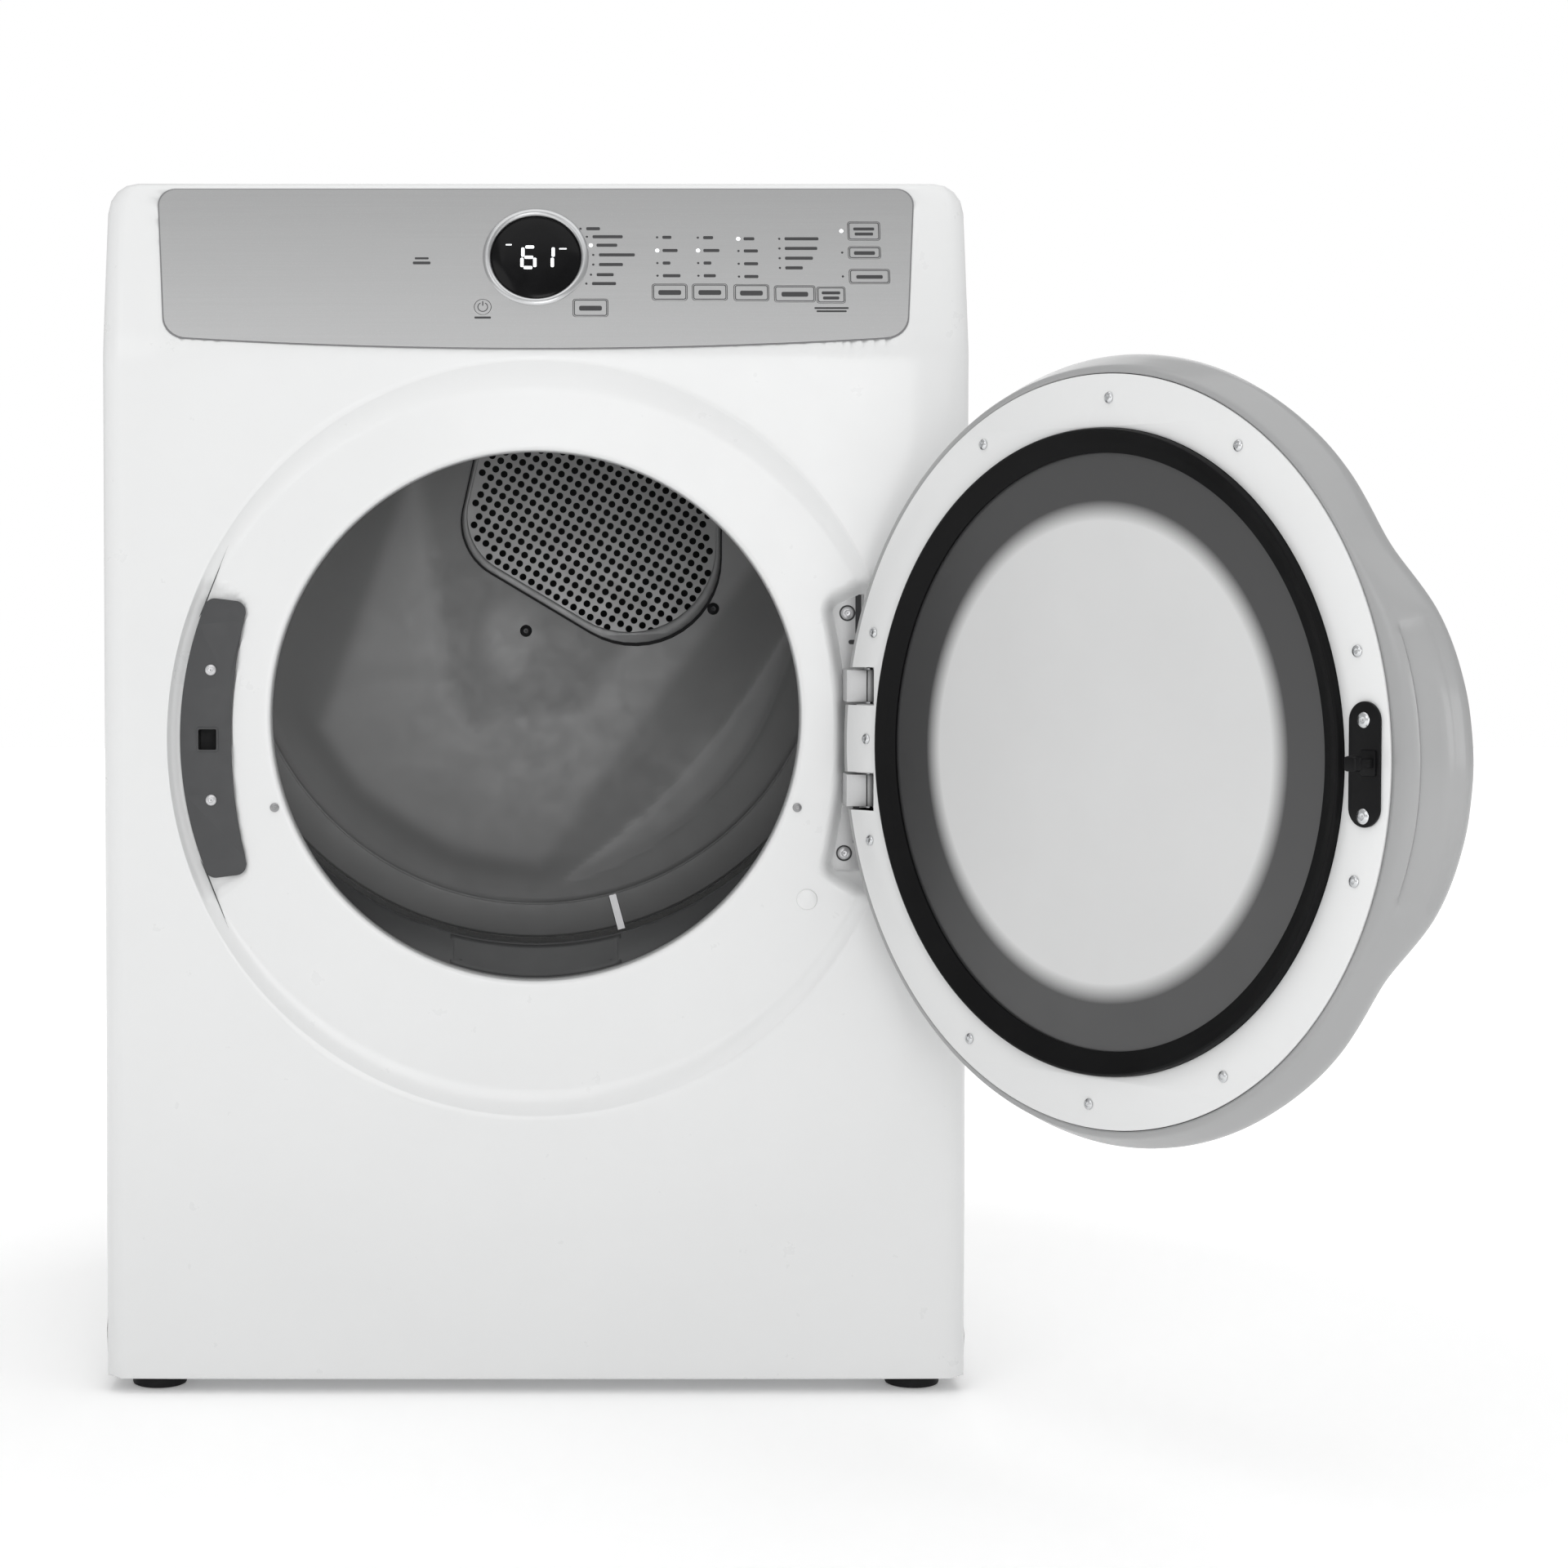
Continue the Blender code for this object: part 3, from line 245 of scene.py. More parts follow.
def brushed(name, colour, roughness=0.34, metallic=0.75, along="x", painted_shade_heights=None):
    """Metal or metal-look paint with fine straight lines, darkened upward by painted shade over a
    given height range.
    """
    n = Nodes(name)
    stretch = {"x": (6, 900, 900), "z": (900, 900, 6), "y": (900, 6, 900)}[along]
    lines = n.noise(1.0, 3.0, 0.7, n.scaled(*stretch))
    flakes = n.noise(1500, 1.0, 0.5)
    tone = n.shaded(lines, colour, 0.95)
    tone = n.mix(n.spread(flakes, 0.55, 0.8, 0.0, 0.30), tone, [min(1, c * 1.25) for c in colour])
    rough = n.spread(lines, 0.3, 0.7, roughness - 0.04, roughness + 0.05)
    if painted_shade_heights:
        # painted shade: the colour darkens toward black up the given heights
        tone = n.mix(n.spread(n.part(2), *painted_shade_heights, 0.0, 0.24), tone, (0.0, 0.0, 0.0))
    return n.finish(
        color=tone, roughness=rough, metallic=metallic, normal=n.bump(lines, 0.05, 0.0002)
    )


def galvanised(name):
    """Zinc-coated steel with its spangle."""
    colour, roughness = (0.50, 0.51, 0.52), 0.38
    n = Nodes(name)
    grains = n.add("ShaderNodeTexVoronoi", {"Vector": n.place, "Scale": 70}).outputs["Color"]
    fine = n.noise(300, 3.0, 0.6)
    mixed = n.add("ShaderNodeSeparateColor", {"Color": grains}).outputs[0]
    tone = n.mix(n.spread(mixed, 0.0, 1.0), [c * 0.84 for c in colour], colour)
    rough = n.spread(mixed, 0.0, 1.0, roughness - 0.07, roughness + 0.10)
    return n.finish(color=tone, roughness=rough, metallic=0.9, normal=n.bump(fine, 0.06, 0.0003))


def moulded(name, colour, roughness=0.45, grain=0.12, specular=0.5):
    """Moulded plastic with a fine grain."""
    n = Nodes(name)
    fine = n.noise(1400, 2.0, 0.6)
    slow = n.noise(9, 2.0, 0.5)
    tone = n.shaded(slow, colour, 0.93)
    rough = n.spread(n.noise(90, 3.0, 0.6), 0.3, 0.7, roughness - 0.05, roughness + 0.06)
    return n.finish(
        color=tone,
        roughness=rough,
        normal=n.bump(fine, grain, 0.00025),
        specular=specular,
    )


def rubber(name, colour=(0.014, 0.014, 0.015), roughness=0.5):
    """Matt rubber with a little dust."""
    n = Nodes(name)
    fine = n.noise(800, 3.0, 0.65)
    dust = n.noise(14, 4.0, 0.6)
    tone = n.mix(n.spread(dust, 0.45, 0.8, 0.0, 0.25), colour, [c * 3 for c in colour])
    rough = n.spread(dust, 0.3, 0.7, roughness - 0.06, roughness + 0.1)
    return n.finish(color=tone, roughness=rough, normal=n.bump(fine, 0.15, 0.0003), specular=0.12)


def polished(name, colour, roughness=0.12):
    """Smooth bare metal, faintly smudged."""
    n = Nodes(name)
    smudge = n.noise(25, 4.0, 0.6)
    tone = n.shaded(smudge, colour, 0.97)
    rough = n.spread(smudge, 0.3, 0.7, roughness - 0.03, roughness + 0.05)
    return n.finish(
        color=tone, roughness=rough, metallic=1.0, normal=n.bump(n.noise(500), 0.02, 0.0002)
    )


def felt(name, colour):
    """Pressed fibres."""
    n = Nodes(name)
    fibres = n.noise(1.0, 4.0, 0.75, n.scaled(900, 900, 900), 1.5)
    tone = n.shaded(fibres, colour, 0.6)
    return n.finish(color=tone, roughness=0.95, normal=n.bump(fibres, 0.5, 0.0006), sheen=0.3)


def board(name):
    """A green circuit board."""
    n = Nodes(name)
    tracks = n.add(
        "ShaderNodeTexBrick",
        {"Vector": n.place, "Scale": 160, "Mortar Size": 0.10, "Mortar Smooth": 0.1},
    ).outputs["Fac"]
    weave = n.noise(700, 2.0)
    tone = n.mix(n.math("MULTIPLY", tracks, 0.6), (0.010, 0.085, 0.035), (0.03, 0.20, 0.09))
    return n.finish(color=tone, roughness=0.38, normal=n.bump(weave, 0.1, 0.0002))


def inner_glass():
    """White frosted glass with a black border printed round it, softly edged inside."""
    n = Nodes("frosted_glass")
    across, up = n.part(0), n.math("SUBTRACT", n.part(2), DOOR_Z)
    reach = n.reach(across, up)
    grain = n.noise(1200, 2.0)
    border = n.spread(n.math("ADD", reach, n.math("MULTIPLY", grain, 0.001)), 0.1662, 0.1808)
    cloud = n.noise(7.0, 3.0)
    milky = n.mix(n.spread(cloud), (0.605, 0.608, 0.608), (0.630, 0.633, 0.633))
    tone = n.mix(border, milky, (0.044, 0.044, 0.045))
    rough = n.spread(n.noise(22, 4.0, 0.6), 0.3, 0.7, 0.32, 0.40)
    return n.finish(
        color=tone,
        roughness=rough,
        coat=0.25,
        coat_roughness=0.18,
        normal=n.bump(grain, 0.02, 0.0002),
    )


def outer_glass():
    """Glossy dark glass."""
    n = Nodes("smoked_glass")
    smudge = n.noise(14, 4.0, 0.6)
    tone = n.mix(n.spread(smudge), (0.010, 0.011, 0.012), (0.016, 0.017, 0.018))
    rough = n.spread(smudge, 0.3, 0.7, 0.05, 0.11)
    return n.finish(color=tone, roughness=rough, specular=0.6, coat=0.6, coat_roughness=0.04)


def display_black():
    """The lens of the display, nearly black."""
    n = Nodes("display_black")
    smudge = n.noise(40, 4.0, 0.6)
    tone = n.mix(n.spread(smudge), (0.003, 0.003, 0.0034), (0.006, 0.006, 0.0065))
    rough = n.spread(smudge, 0.3, 0.7, 0.10, 0.18)
    return n.finish(
        color=tone, roughness=rough, specular=0.12, normal=n.bump(n.noise(300), 0.01, 0.0002)
    )


def lit():
    """Lit figures and lamps."""
    n = Nodes("lit_figure")
    glow = n.noise(500, 2.0)
    tone = n.mix(n.spread(glow), (0.85, 0.88, 0.90), (0.95, 0.96, 0.97))
    return n.finish(color=tone, roughness=0.5, emission=tone, glow=0.75)


def wall_with_painted_shade():
    """The rear wall's powder coat, darkened by painted shade on its slopes and lightened by painted
    highlights, as the tone attribute gives.
    """
    n = Nodes("rear_wall_grey_painted_shade")
    # tone carries the painted shade and highlights set on the wall's points
    level = n.add("ShaderNodeAttribute", attribute_name="tone").outputs["Fac"]
    speckle = n.noise(900, 2.0, 0.7)
    slow = n.noise(5.0, 3.0, 0.5)
    level = n.math("MULTIPLY", level, n.spread(slow, 0.3, 0.7, 0.96, 1.02))
    tone = n.mix(level, (0.0, 0.0, 0.0), (0.520, 0.523, 0.526))
    tone = n.mix(n.spread(speckle, 0.60, 0.75, 0.0, 0.12), tone, (0.5, 0.5, 0.5))
    rough = n.spread(n.noise(60, 3.0, 0.6), 0.3, 0.7, 0.42, 0.52)
    return n.finish(
        color=tone, roughness=rough, metallic=0.15, normal=n.bump(speckle, 0.08, 0.0003)
    )


def floor_white():
    """A pale studio floor that brightens with distance, so that it meets the backdrop."""
    n = Nodes("floor_white")
    fine = n.noise(60, 4.0, 0.6)
    tone = n.mix(n.spread(fine), (0.90, 0.90, 0.90), (0.93, 0.93, 0.93))
    away = n.reach(n.part(0), n.part(1))
    glow = n.spread(away, 0.7, 2.4, 0.20, 0.66)
    return n.finish(
        color=tone, roughness=0.7, normal=n.bump(fine, 0.02, 0.0005), emission=(1, 1, 1), glow=glow
    )


look = {
    "enamel": enamel("white_enamel", (0.735, 0.74, 0.74)),
    "door_white": enamel("door_white_moulding", (0.75, 0.755, 0.755), 0.34),
    # the door shell is white; the grey of its rim side is painted shade
    "shell_white": enamel("door_shell_white", (0.335, 0.337, 0.339), 0.36, (0.66, 0.663, 0.665)),
    # the silver plate darkens toward its top as painted shade
    "silver": brushed("silver_console", (0.455, 0.457, 0.459), 0.42, 0.45, "x", (0.836, 0.955)),
    "print_dark": moulded("dark_print", (0.035, 0.035, 0.037), 0.55, 0.03),
    # a near-black for painted shade in gaps, slots and hollows
    "gap_dark": moulded("painted_shade_backing", (0.03, 0.03, 0.032), 0.7, 0.05),
    "bezel": polished("bright_bezel", (0.50, 0.505, 0.51), 0.30),
    "screw": polished("zinc_screw", (0.62, 0.63, 0.64), 0.26),
    "drum": powder_coat("drum_grey", (0.260, 0.262, 0.264), 0.42, 0.25),
    "funnel": powder_coat("funnel_grey", (0.066, 0.067, 0.068), 0.50, 0.20),
    "grille": powder_coat("grille_grey", (0.49, 0.492, 0.494), 0.40, 0.35),
    "galvanised": galvanised("galvanised_steel"),
    "steel": brushed("pressed_steel", (0.52, 0.53, 0.54), 0.32, 0.95, "z"),
    "dark": moulded("dark_plastic", (0.035, 0.036, 0.038), 0.48, 0.15),
    "latch": moulded("latch_grey", (0.050, 0.051, 0.053), 0.55, 0.18),
    "black": moulded("black_plastic", (0.004, 0.004, 0.0045), 0.40, 0.08, specular=0.15),
    "vane": moulded("vane_grey", (0.105, 0.106, 0.108), 0.45, 0.12),
    "rubber": rubber("black_rubber"),
    "seal": rubber("seal_rubber", (0.0035, 0.0035, 0.0038), 0.42),
    "felt": felt("grey_felt", (0.18, 0.175, 0.17)),
    "board": board("circuit_board"),
    "copper": polished("copper_winding", (0.62, 0.27, 0.12), 0.35),
    "lint": moulded("filter_mesh", (0.10, 0.10, 0.11), 0.7, 0.4),
    "inner_glass": inner_glass(),
    "outer_glass": outer_glass(),
    "display_black": display_black(),
    "lit": lit(),
    "floor": floor_white(),
    "wall": wall_with_painted_shade(),
    "grille_rim": powder_coat("grille_rim_grey", (0.33, 0.332, 0.335), 0.38, 0.45),
    "rear_felt": felt("rear_felt_grey", (0.30, 0.30, 0.30)),
    "dark_screw": brushed("dark_screw", (0.075, 0.076, 0.078), 0.40, 0.6),
    "latch_screw": brushed("latch_screw", (0.62, 0.62, 0.63), 0.32, 0.6),
    "white_screw": brushed("painted_screw", (0.33, 0.33, 0.335), 0.34, 0.5),
    "edge_grey": moulded("edge_grey", (0.20, 0.20, 0.205), 0.45, 0.06),
    "hinge_grey": brushed("hinge_steel", (0.50, 0.502, 0.505), 0.42, 0.35, "z"),
    "enamel_grey": enamel("rear_panel_paint", (0.56, 0.565, 0.57), 0.4),
    "sensor": polished("bright_steel", (0.34, 0.34, 0.345), 0.34),
    "heater_dark": brushed("heat_darkened_steel", (0.030, 0.030, 0.031), 0.6, 0.5),
    "motor_grey": powder_coat("motor_grey", (0.10, 0.105, 0.11), 0.45, 0.6),
}


# ---------------------------------------------------------------- geometry helpers
def mesh_of(name, bm, smooth=True, sharp=35):
    """The mesh of a bmesh, shaded smooth but for edges over an angle in degrees."""
    bmesh.ops.recalc_face_normals(bm, faces=bm.faces)
    mesh = bpy.data.meshes.new(name)
    bm.to_mesh(mesh)
    bm.free()
    if smooth:
        mesh.shade_smooth()
        mesh.set_sharp_from_angle(angle=math.radians(sharp))
    return mesh


def piece(name, bm, material, body="cabinet", slot=None, stands_for=(), smooth=True, sharp=35):
    """A finished piece from bm, in cabinet axes, riding on a body of the frame."""
    obj = bpy.data.objects.new(name, mesh_of(name, bm, smooth, sharp))
    for each in material if isinstance(material, list) else [material]:
        obj.data.materials.append(look[each])
    bpy.context.scene.collection.objects.link(obj)
    obj.location = SHIFT
    if body == "door":
        obj.matrix_world = Matrix.Translation(SHIFT) @ door_turn()
    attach(obj, body)
    if stands_for:
        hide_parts(*stands_for)
    return obj


def door_turn():
    """From the closed door's place to where it stands open."""
    pin = Vector((HINGE_X, HINGE_Y, 0))
    return Matrix.Translation(pin) @ Matrix.Rotation(DOOR_OPEN, 4, "Z") @ Matrix.Translation(-pin)


def grow(obj, thickness, offset=-1.0):
    """Gives an open sheet its thickness, inward unless offset says otherwise."""
    solid = obj.modifiers.new("Sheet", "SOLIDIFY")
    solid.thickness = thickness
    solid.offset = offset
    solid.use_even_offset = False
    return obj


def loft(rows, closed=True, capped=False):
    """A surface through rows of points, each row a loop when closed."""
    bm = bmesh.new()
    made = [[bm.verts.new(point) for point in row] for row in rows]
    count = len(made[0])
    last = count if closed else count - 1
    for a, b in zip(made, made[1:]):
        for i in range(last):
            j = (i + 1) % count
            bm.faces.new((a[i], a[j], b[j], b[i]))
    if capped:
        bm.faces.new(made[0])
        bm.faces.new(made[-1])
    return bm


def lathe(profile, centre, steps=96, axis="Y", closed=True):
    """A profile of (radius, along) turned about a line through centre."""
    bm = bmesh.new()
    rows = []
    for radius, along in profile:
        turns = [2 * math.pi * i / steps for i in range(steps if radius >= 1e-6 else 1)]
        points = [turned_point(radius, along, turn, centre, axis) for turn in turns]
        rows.append([bm.verts.new(point) for point in points])
    pairs = list(zip(rows, rows[1:])) + ([(rows[-1], rows[0])] if closed else [])
    for a, b in pairs:
        if len(a) == 1 and len(b) == 1:
            continue
        for i in range(steps):
            j = (i + 1) % steps
            if len(a) == 1:
                bm.faces.new((a[0], b[i], b[j]))
            elif len(b) == 1:
                bm.faces.new((a[i], a[j], b[0]))
            else:
                bm.faces.new((a[i], a[j], b[j], b[i]))
    return bm


def turned_point(radius, along, angle, centre, axis):
    """A point at a radius, turned by the angle about an axis through centre."""
    c, s = radius * math.cos(angle), radius * math.sin(angle)
    if axis == "Z":
        return (centre[0] + c, centre[1] + s, centre[2] + along)
    return (centre[0] + c, centre[1] + along, centre[2] + s)


def arc(centre, radius, start, end, count):
    """Points along an arc, from one angle in degrees to another."""
    angles = [math.radians(start + (end - start) * i / (count - 1)) for i in range(count)]
    return [(centre[0] + radius * math.cos(a), centre[1] + radius * math.sin(a)) for a in angles]


def circle(x, y, radius, count=48):
    """A round outline."""
    return arc((x, y), radius, 0, 360 - 360 / count, count)


def rounded(corners, radius, count=6):
    """A closed outline with each corner that isn't nearly straight replaced by an arc."""
    outline = []
    total = len(corners)
    radii = radius if isinstance(radius, (list, tuple)) else [radius] * total
    for i, corner in enumerate(corners):
        here = Vector(corner)
        before = (Vector(corners[i - 1]) - here).normalized()
        after = (Vector(corners[(i + 1) % total]) - here).normalized()
        half = before.angle(after) / 2
        if half > math.radians(76) or radii[i] <= 0:
            outline.append(tuple(here))
            continue
        reach = radii[i] / math.tan(half)
        centre = here + (before + after).normalized() * (radii[i] / math.sin(half))
        first = here + before * reach - centre
        last = here + after * reach - centre
        start = math.atan2(first.y, first.x)
        sweep = (math.atan2(last.y, last.x) - start + math.pi) % (2 * math.pi) - math.pi
        for k in range(count):
            turn = start + sweep * k / (count - 1)
            outline.append(
                (centre.x + radii[i] * math.cos(turn), centre.y + radii[i] * math.sin(turn))
            )
    return outline


def rectangle(x, y, width, height, radius=0.0, count=5):
    """A rectangle's outline, with rounded corners if it has a radius."""
    corners = [
        (x - width / 2, y - height / 2),
        (x + width / 2, y - height / 2),
        (x + width / 2, y + height / 2),
        (x - width / 2, y + height / 2),
    ]
    return rounded(corners, radius, count) if radius else corners


def facing(y):
    """The upright plane at that depth, its outline's second coordinate going up."""
    return facing_front(0, y, 0)


def plane_out(out):
    """The console's leaning plane, moved out along its normal."""
    lean = Matrix.Translation((0, 0, CONSOLE_Z)) @ Matrix.Rotation(math.pi / 2 - LEAN, 4, "X")
    return lean @ Matrix.Translation((0, 0, out))


def plate(outlines, thickness, matrix, edge=0.0):
    """A flat piece from outlines, the later ones holes; its outer face is matrix's plane."""
    curve = bpy.data.curves.new("outline", "CURVE")
    curve.dimensions = "2D"
    curve.fill_mode = "BOTH"
    curve.extrude = max(thickness / 2 - edge, 0.00001)
    if edge:
        curve.bevel_depth = edge
        curve.bevel_resolution = 1
        curve.offset = -edge
    for outline in outlines:
        spline = curve.splines.new("POLY")
        spline.points.add(len(outline) - 1)
        for point, (x, y) in zip(spline.points, outline):
            point.co = (x, y, 0, 1)
        spline.use_cyclic_u = True
    flat = bpy.data.objects.new("outline", curve)
    bpy.context.scene.collection.objects.link(flat)
    bpy.context.view_layer.update()
    graph = bpy.context.evaluated_depsgraph_get()
    mesh = bpy.data.meshes.new_from_object(flat.evaluated_get(graph))
    bpy.data.objects.remove(flat, do_unlink=True)
    bpy.data.curves.remove(curve)
    bm = bmesh.new()
    bm.from_mesh(mesh)
    bpy.data.meshes.remove(mesh)
    bmesh.ops.remove_doubles(bm, verts=bm.verts, dist=0.000005)
    bmesh.ops.translate(bm, vec=(0, 0, -thickness / 2), verts=bm.verts)
    bmesh.ops.transform(bm, verts=bm.verts, matrix=matrix)
    return bm


def joined(meshes):
    """Several bmeshes as one."""
    whole = bmesh.new()
    for bm in meshes:
        mesh = bpy.data.meshes.new("part")
        bm.to_mesh(mesh)
        bm.free()
        whole.from_mesh(mesh)
        bpy.data.meshes.remove(mesh)
    return whole


def block(low, high, chamfer=0.0, segments=2):
    """A box between two corners, its edges bevelled by the chamfer."""
    bm = bmesh.new()
    bmesh.ops.create_cube(bm, size=1)
    low, high = Vector(low), Vector(high)
    bmesh.ops.scale(bm, vec=high - low, verts=bm.verts)
    bmesh.ops.translate(bm, vec=(low + high) / 2, verts=bm.verts)
    if chamfer:
        bmesh.ops.bevel(
            bm, geom=bm.edges[:], offset=chamfer, segments=segments, profile=0.5, affect="EDGES"
        )
    return bm


def marked(bm, index):
    """The mesh with all of its faces in another of the piece's materials."""
    for face in bm.faces:
        face.material_index = index
    return bm


def placed(bm, matrix):
    """The mesh, moved by the matrix."""
    bmesh.ops.transform(bm, verts=bm.verts, matrix=matrix)
    return bm


def screw_head(matrix, radius, height):
    """A domed screw head with a cross recess, its seat on matrix's plane, its axis along Z."""
    profile = [(radius, 0.0), (radius, height * 0.35), (radius * 0.86, height * 0.72)]
    profile += [(radius * 0.55, height * 0.95), (radius * 0.50, height)]
    profile += [(radius * 0.42, height * 0.55), (0.0, height * 0.45)]
    head = lathe(profile, (0, 0, 0), 20, "Z", closed=False)
    arm, half = radius * 0.40, radius * 0.10
    for turn in (0, math.pi / 2):
        slot = block((-arm, -half, height * 0.20), (arm, half, height * 0.50))
        head = joined([head, placed(slot, Matrix.Rotation(turn, 4, "Z"))])
    return placed(head, matrix)


def facing_front(x, y, z):
    """A plane at that point whose Z points to the front."""
    return Matrix.Translation((x, y, z)) @ Matrix.Rotation(math.pi / 2, 4, "X")


def facing_back(x, y, z):
    """A plane at that point whose Z points to the back."""
    return Matrix.Translation((x, y, z)) @ Matrix.Rotation(-math.pi / 2, 4, "X")


def screws(name, places, radius, height, finish, body="cabinet", facing=facing_front):
    """Screw heads as one piece, one head at each place."""
    heads = [screw_head(facing(*place), radius, height) for place in places]
    piece(name, joined(heads), finish, body)


# ---------------------------------------------------------------- white front
SIDE_ROUND, TOP_ROUND, BOTTOM_ROUND = 0.016, 0.006, 0.003
TOP_CORNER, BOTTOM_CORNER = 0.024, 0.003
SHIELD_LOW, SHIELD_BEND = 0.141, 0.344
POCKET_X, POCKET_Z = 0.006, 0.523


def smooth_step(value, low, high):
    """0 at low and 1 at high, whichever of them is greater, eased at both ends."""
    t = np.clip((value - low) / (high - low), 0, 1)
    return t * t * (3 - 2 * t)


def box_distance(x, z, half_x, low, high, top_corner, bottom_corner):
    """Signed distance to a rectangle with rounded corners, and its outward direction."""
    centre, half_z = (low + high) / 2, (high - low) / 2
    corner = np.where(z > centre, top_corner, bottom_corner)
    across = np.abs(x) - half_x + corner
    up = np.abs(z - centre) - half_z + corner
    both = np.hypot(np.maximum(across, 0), np.maximum(up, 0))
    distance = np.minimum(np.maximum(across, up), 0) + both - corner
    in_corner = (across > 0) & (up > 0)
    side = np.where(in_corner, across / np.maximum(both, 1e-9), (across > up).astype(float))
    return distance, side**2


def reach_of(angles, *rect):
    """How far each ray from the recess's centre runs inside a rounded rectangle."""
    near, far = np.zeros_like(angles), np.full_like(angles, 1.5)
    for _ in range(46):
        middle = (near + far) / 2
        x, z = middle * np.cos(angles), RECESS_Z + middle * np.sin(angles)
        inside = box_distance(x, z, *rect)[0] < 0
        near, far = np.where(inside, middle, near), np.where(inside, far, middle)
    return near


def fascia_distance(x, slope):
    """Signed distance to the silver plate's outline on the leaning plane."""
    corner = 0.013
    half = 0.2925 + (slope - 0.0115) / 0.127 * 0.009
    low = 0.0012 + 0.0100 * (x / 0.2925) ** 2
    across = np.abs(x) - half + corner
    up = np.maximum(low - slope, slope - 0.1385) + corner
    both = np.hypot(np.maximum(across, 0), np.maximum(up, 0))
    return np.minimum(np.maximum(across, up), 0) + both - corner


def front_face(x, z):
    """Depth of the white front at a place: the lean, the shield, and the pocket under the silver
    plate.
    """
    bend = 0.003
    lean = math.tan(LEAN) * bend * np.logaddexp(0, (z - CONSOLE_Z) / bend)
    width = 0.289 + np.maximum(z - SHIELD_BEND, 0) * 0.019
    drop = np.maximum(SHIELD_BEND - z, 0) / (SHIELD_BEND - SHIELD_LOW)
    sideways = (np.abs(x) / width) ** 5
    total = np.maximum(sideways + drop**5, 1e-12)
    scale = (sideways * width + drop**5 * 0.203) / total
    outside = (total**0.2 - 1) * scale
    slope = (sideways * 0.085 + drop**5 * 0.034) / total
    fall = slope * 0.004 * np.logaddexp(0, outside / 0.004) * smooth_step(-z, -0.95, -0.80)
    pocket = 0.0045 * smooth_step(
        -fascia_distance(x, (z - CONSOLE_Z) / math.cos(LEAN)), 0.0015, 0.0050
    )
    return lean + fall + pocket


def ring_pockets(x, z):
    """Depth of the pockets round the latch plate and the hinge in the recess's ring."""
    turn = np.abs(np.arctan2(z - POCKET_Z, np.abs(x) - POCKET_X))
    ends = (turn - math.radians(26.3)) * 0.270
    side = np.where(x < 0, 0.4252, 0.4236) - np.hypot(np.abs(x) + 0.185, z - POCKET_Z)
    corner = 0.014
    over = np.hypot(np.maximum(ends + corner, 0), np.maximum(side + corner, 0)) - corner
    within = over + np.minimum(np.maximum(ends, side) + corner, 0)
    latch_depth = 0.0030 * smooth_step(-within, 0.0, 0.0015)
    hinge = np.maximum(within, np.abs(x) - 0.302)
    hinge_depth = 0.0142 * smooth_step(-hinge, -0.001, 0.0115)
    return np.where(x < 0, latch_depth, hinge_depth)


def front_angles():
    """Even angles, some of them moved onto the corners where the panels part."""
    count = 404
    angles = np.arange(count) * 2 * math.pi / count
    wanted = []
    for side in (1, -1):
        for z in (PANEL_LOW + 0.0005, PANEL_HIGH - 0.0004, PANEL_HIGH + 0.0002):
            wanted.append(math.atan2(z - RECESS_Z, side * HALF) % (2 * math.pi))
    taken = set()
    for angle in wanted:
        gaps = np.abs(angles - angle)
        for index in np.argsort(gaps):
            if index not in taken:
                angles[index] = angle
                taken.add(int(index))
                break
    return np.sort(angles)


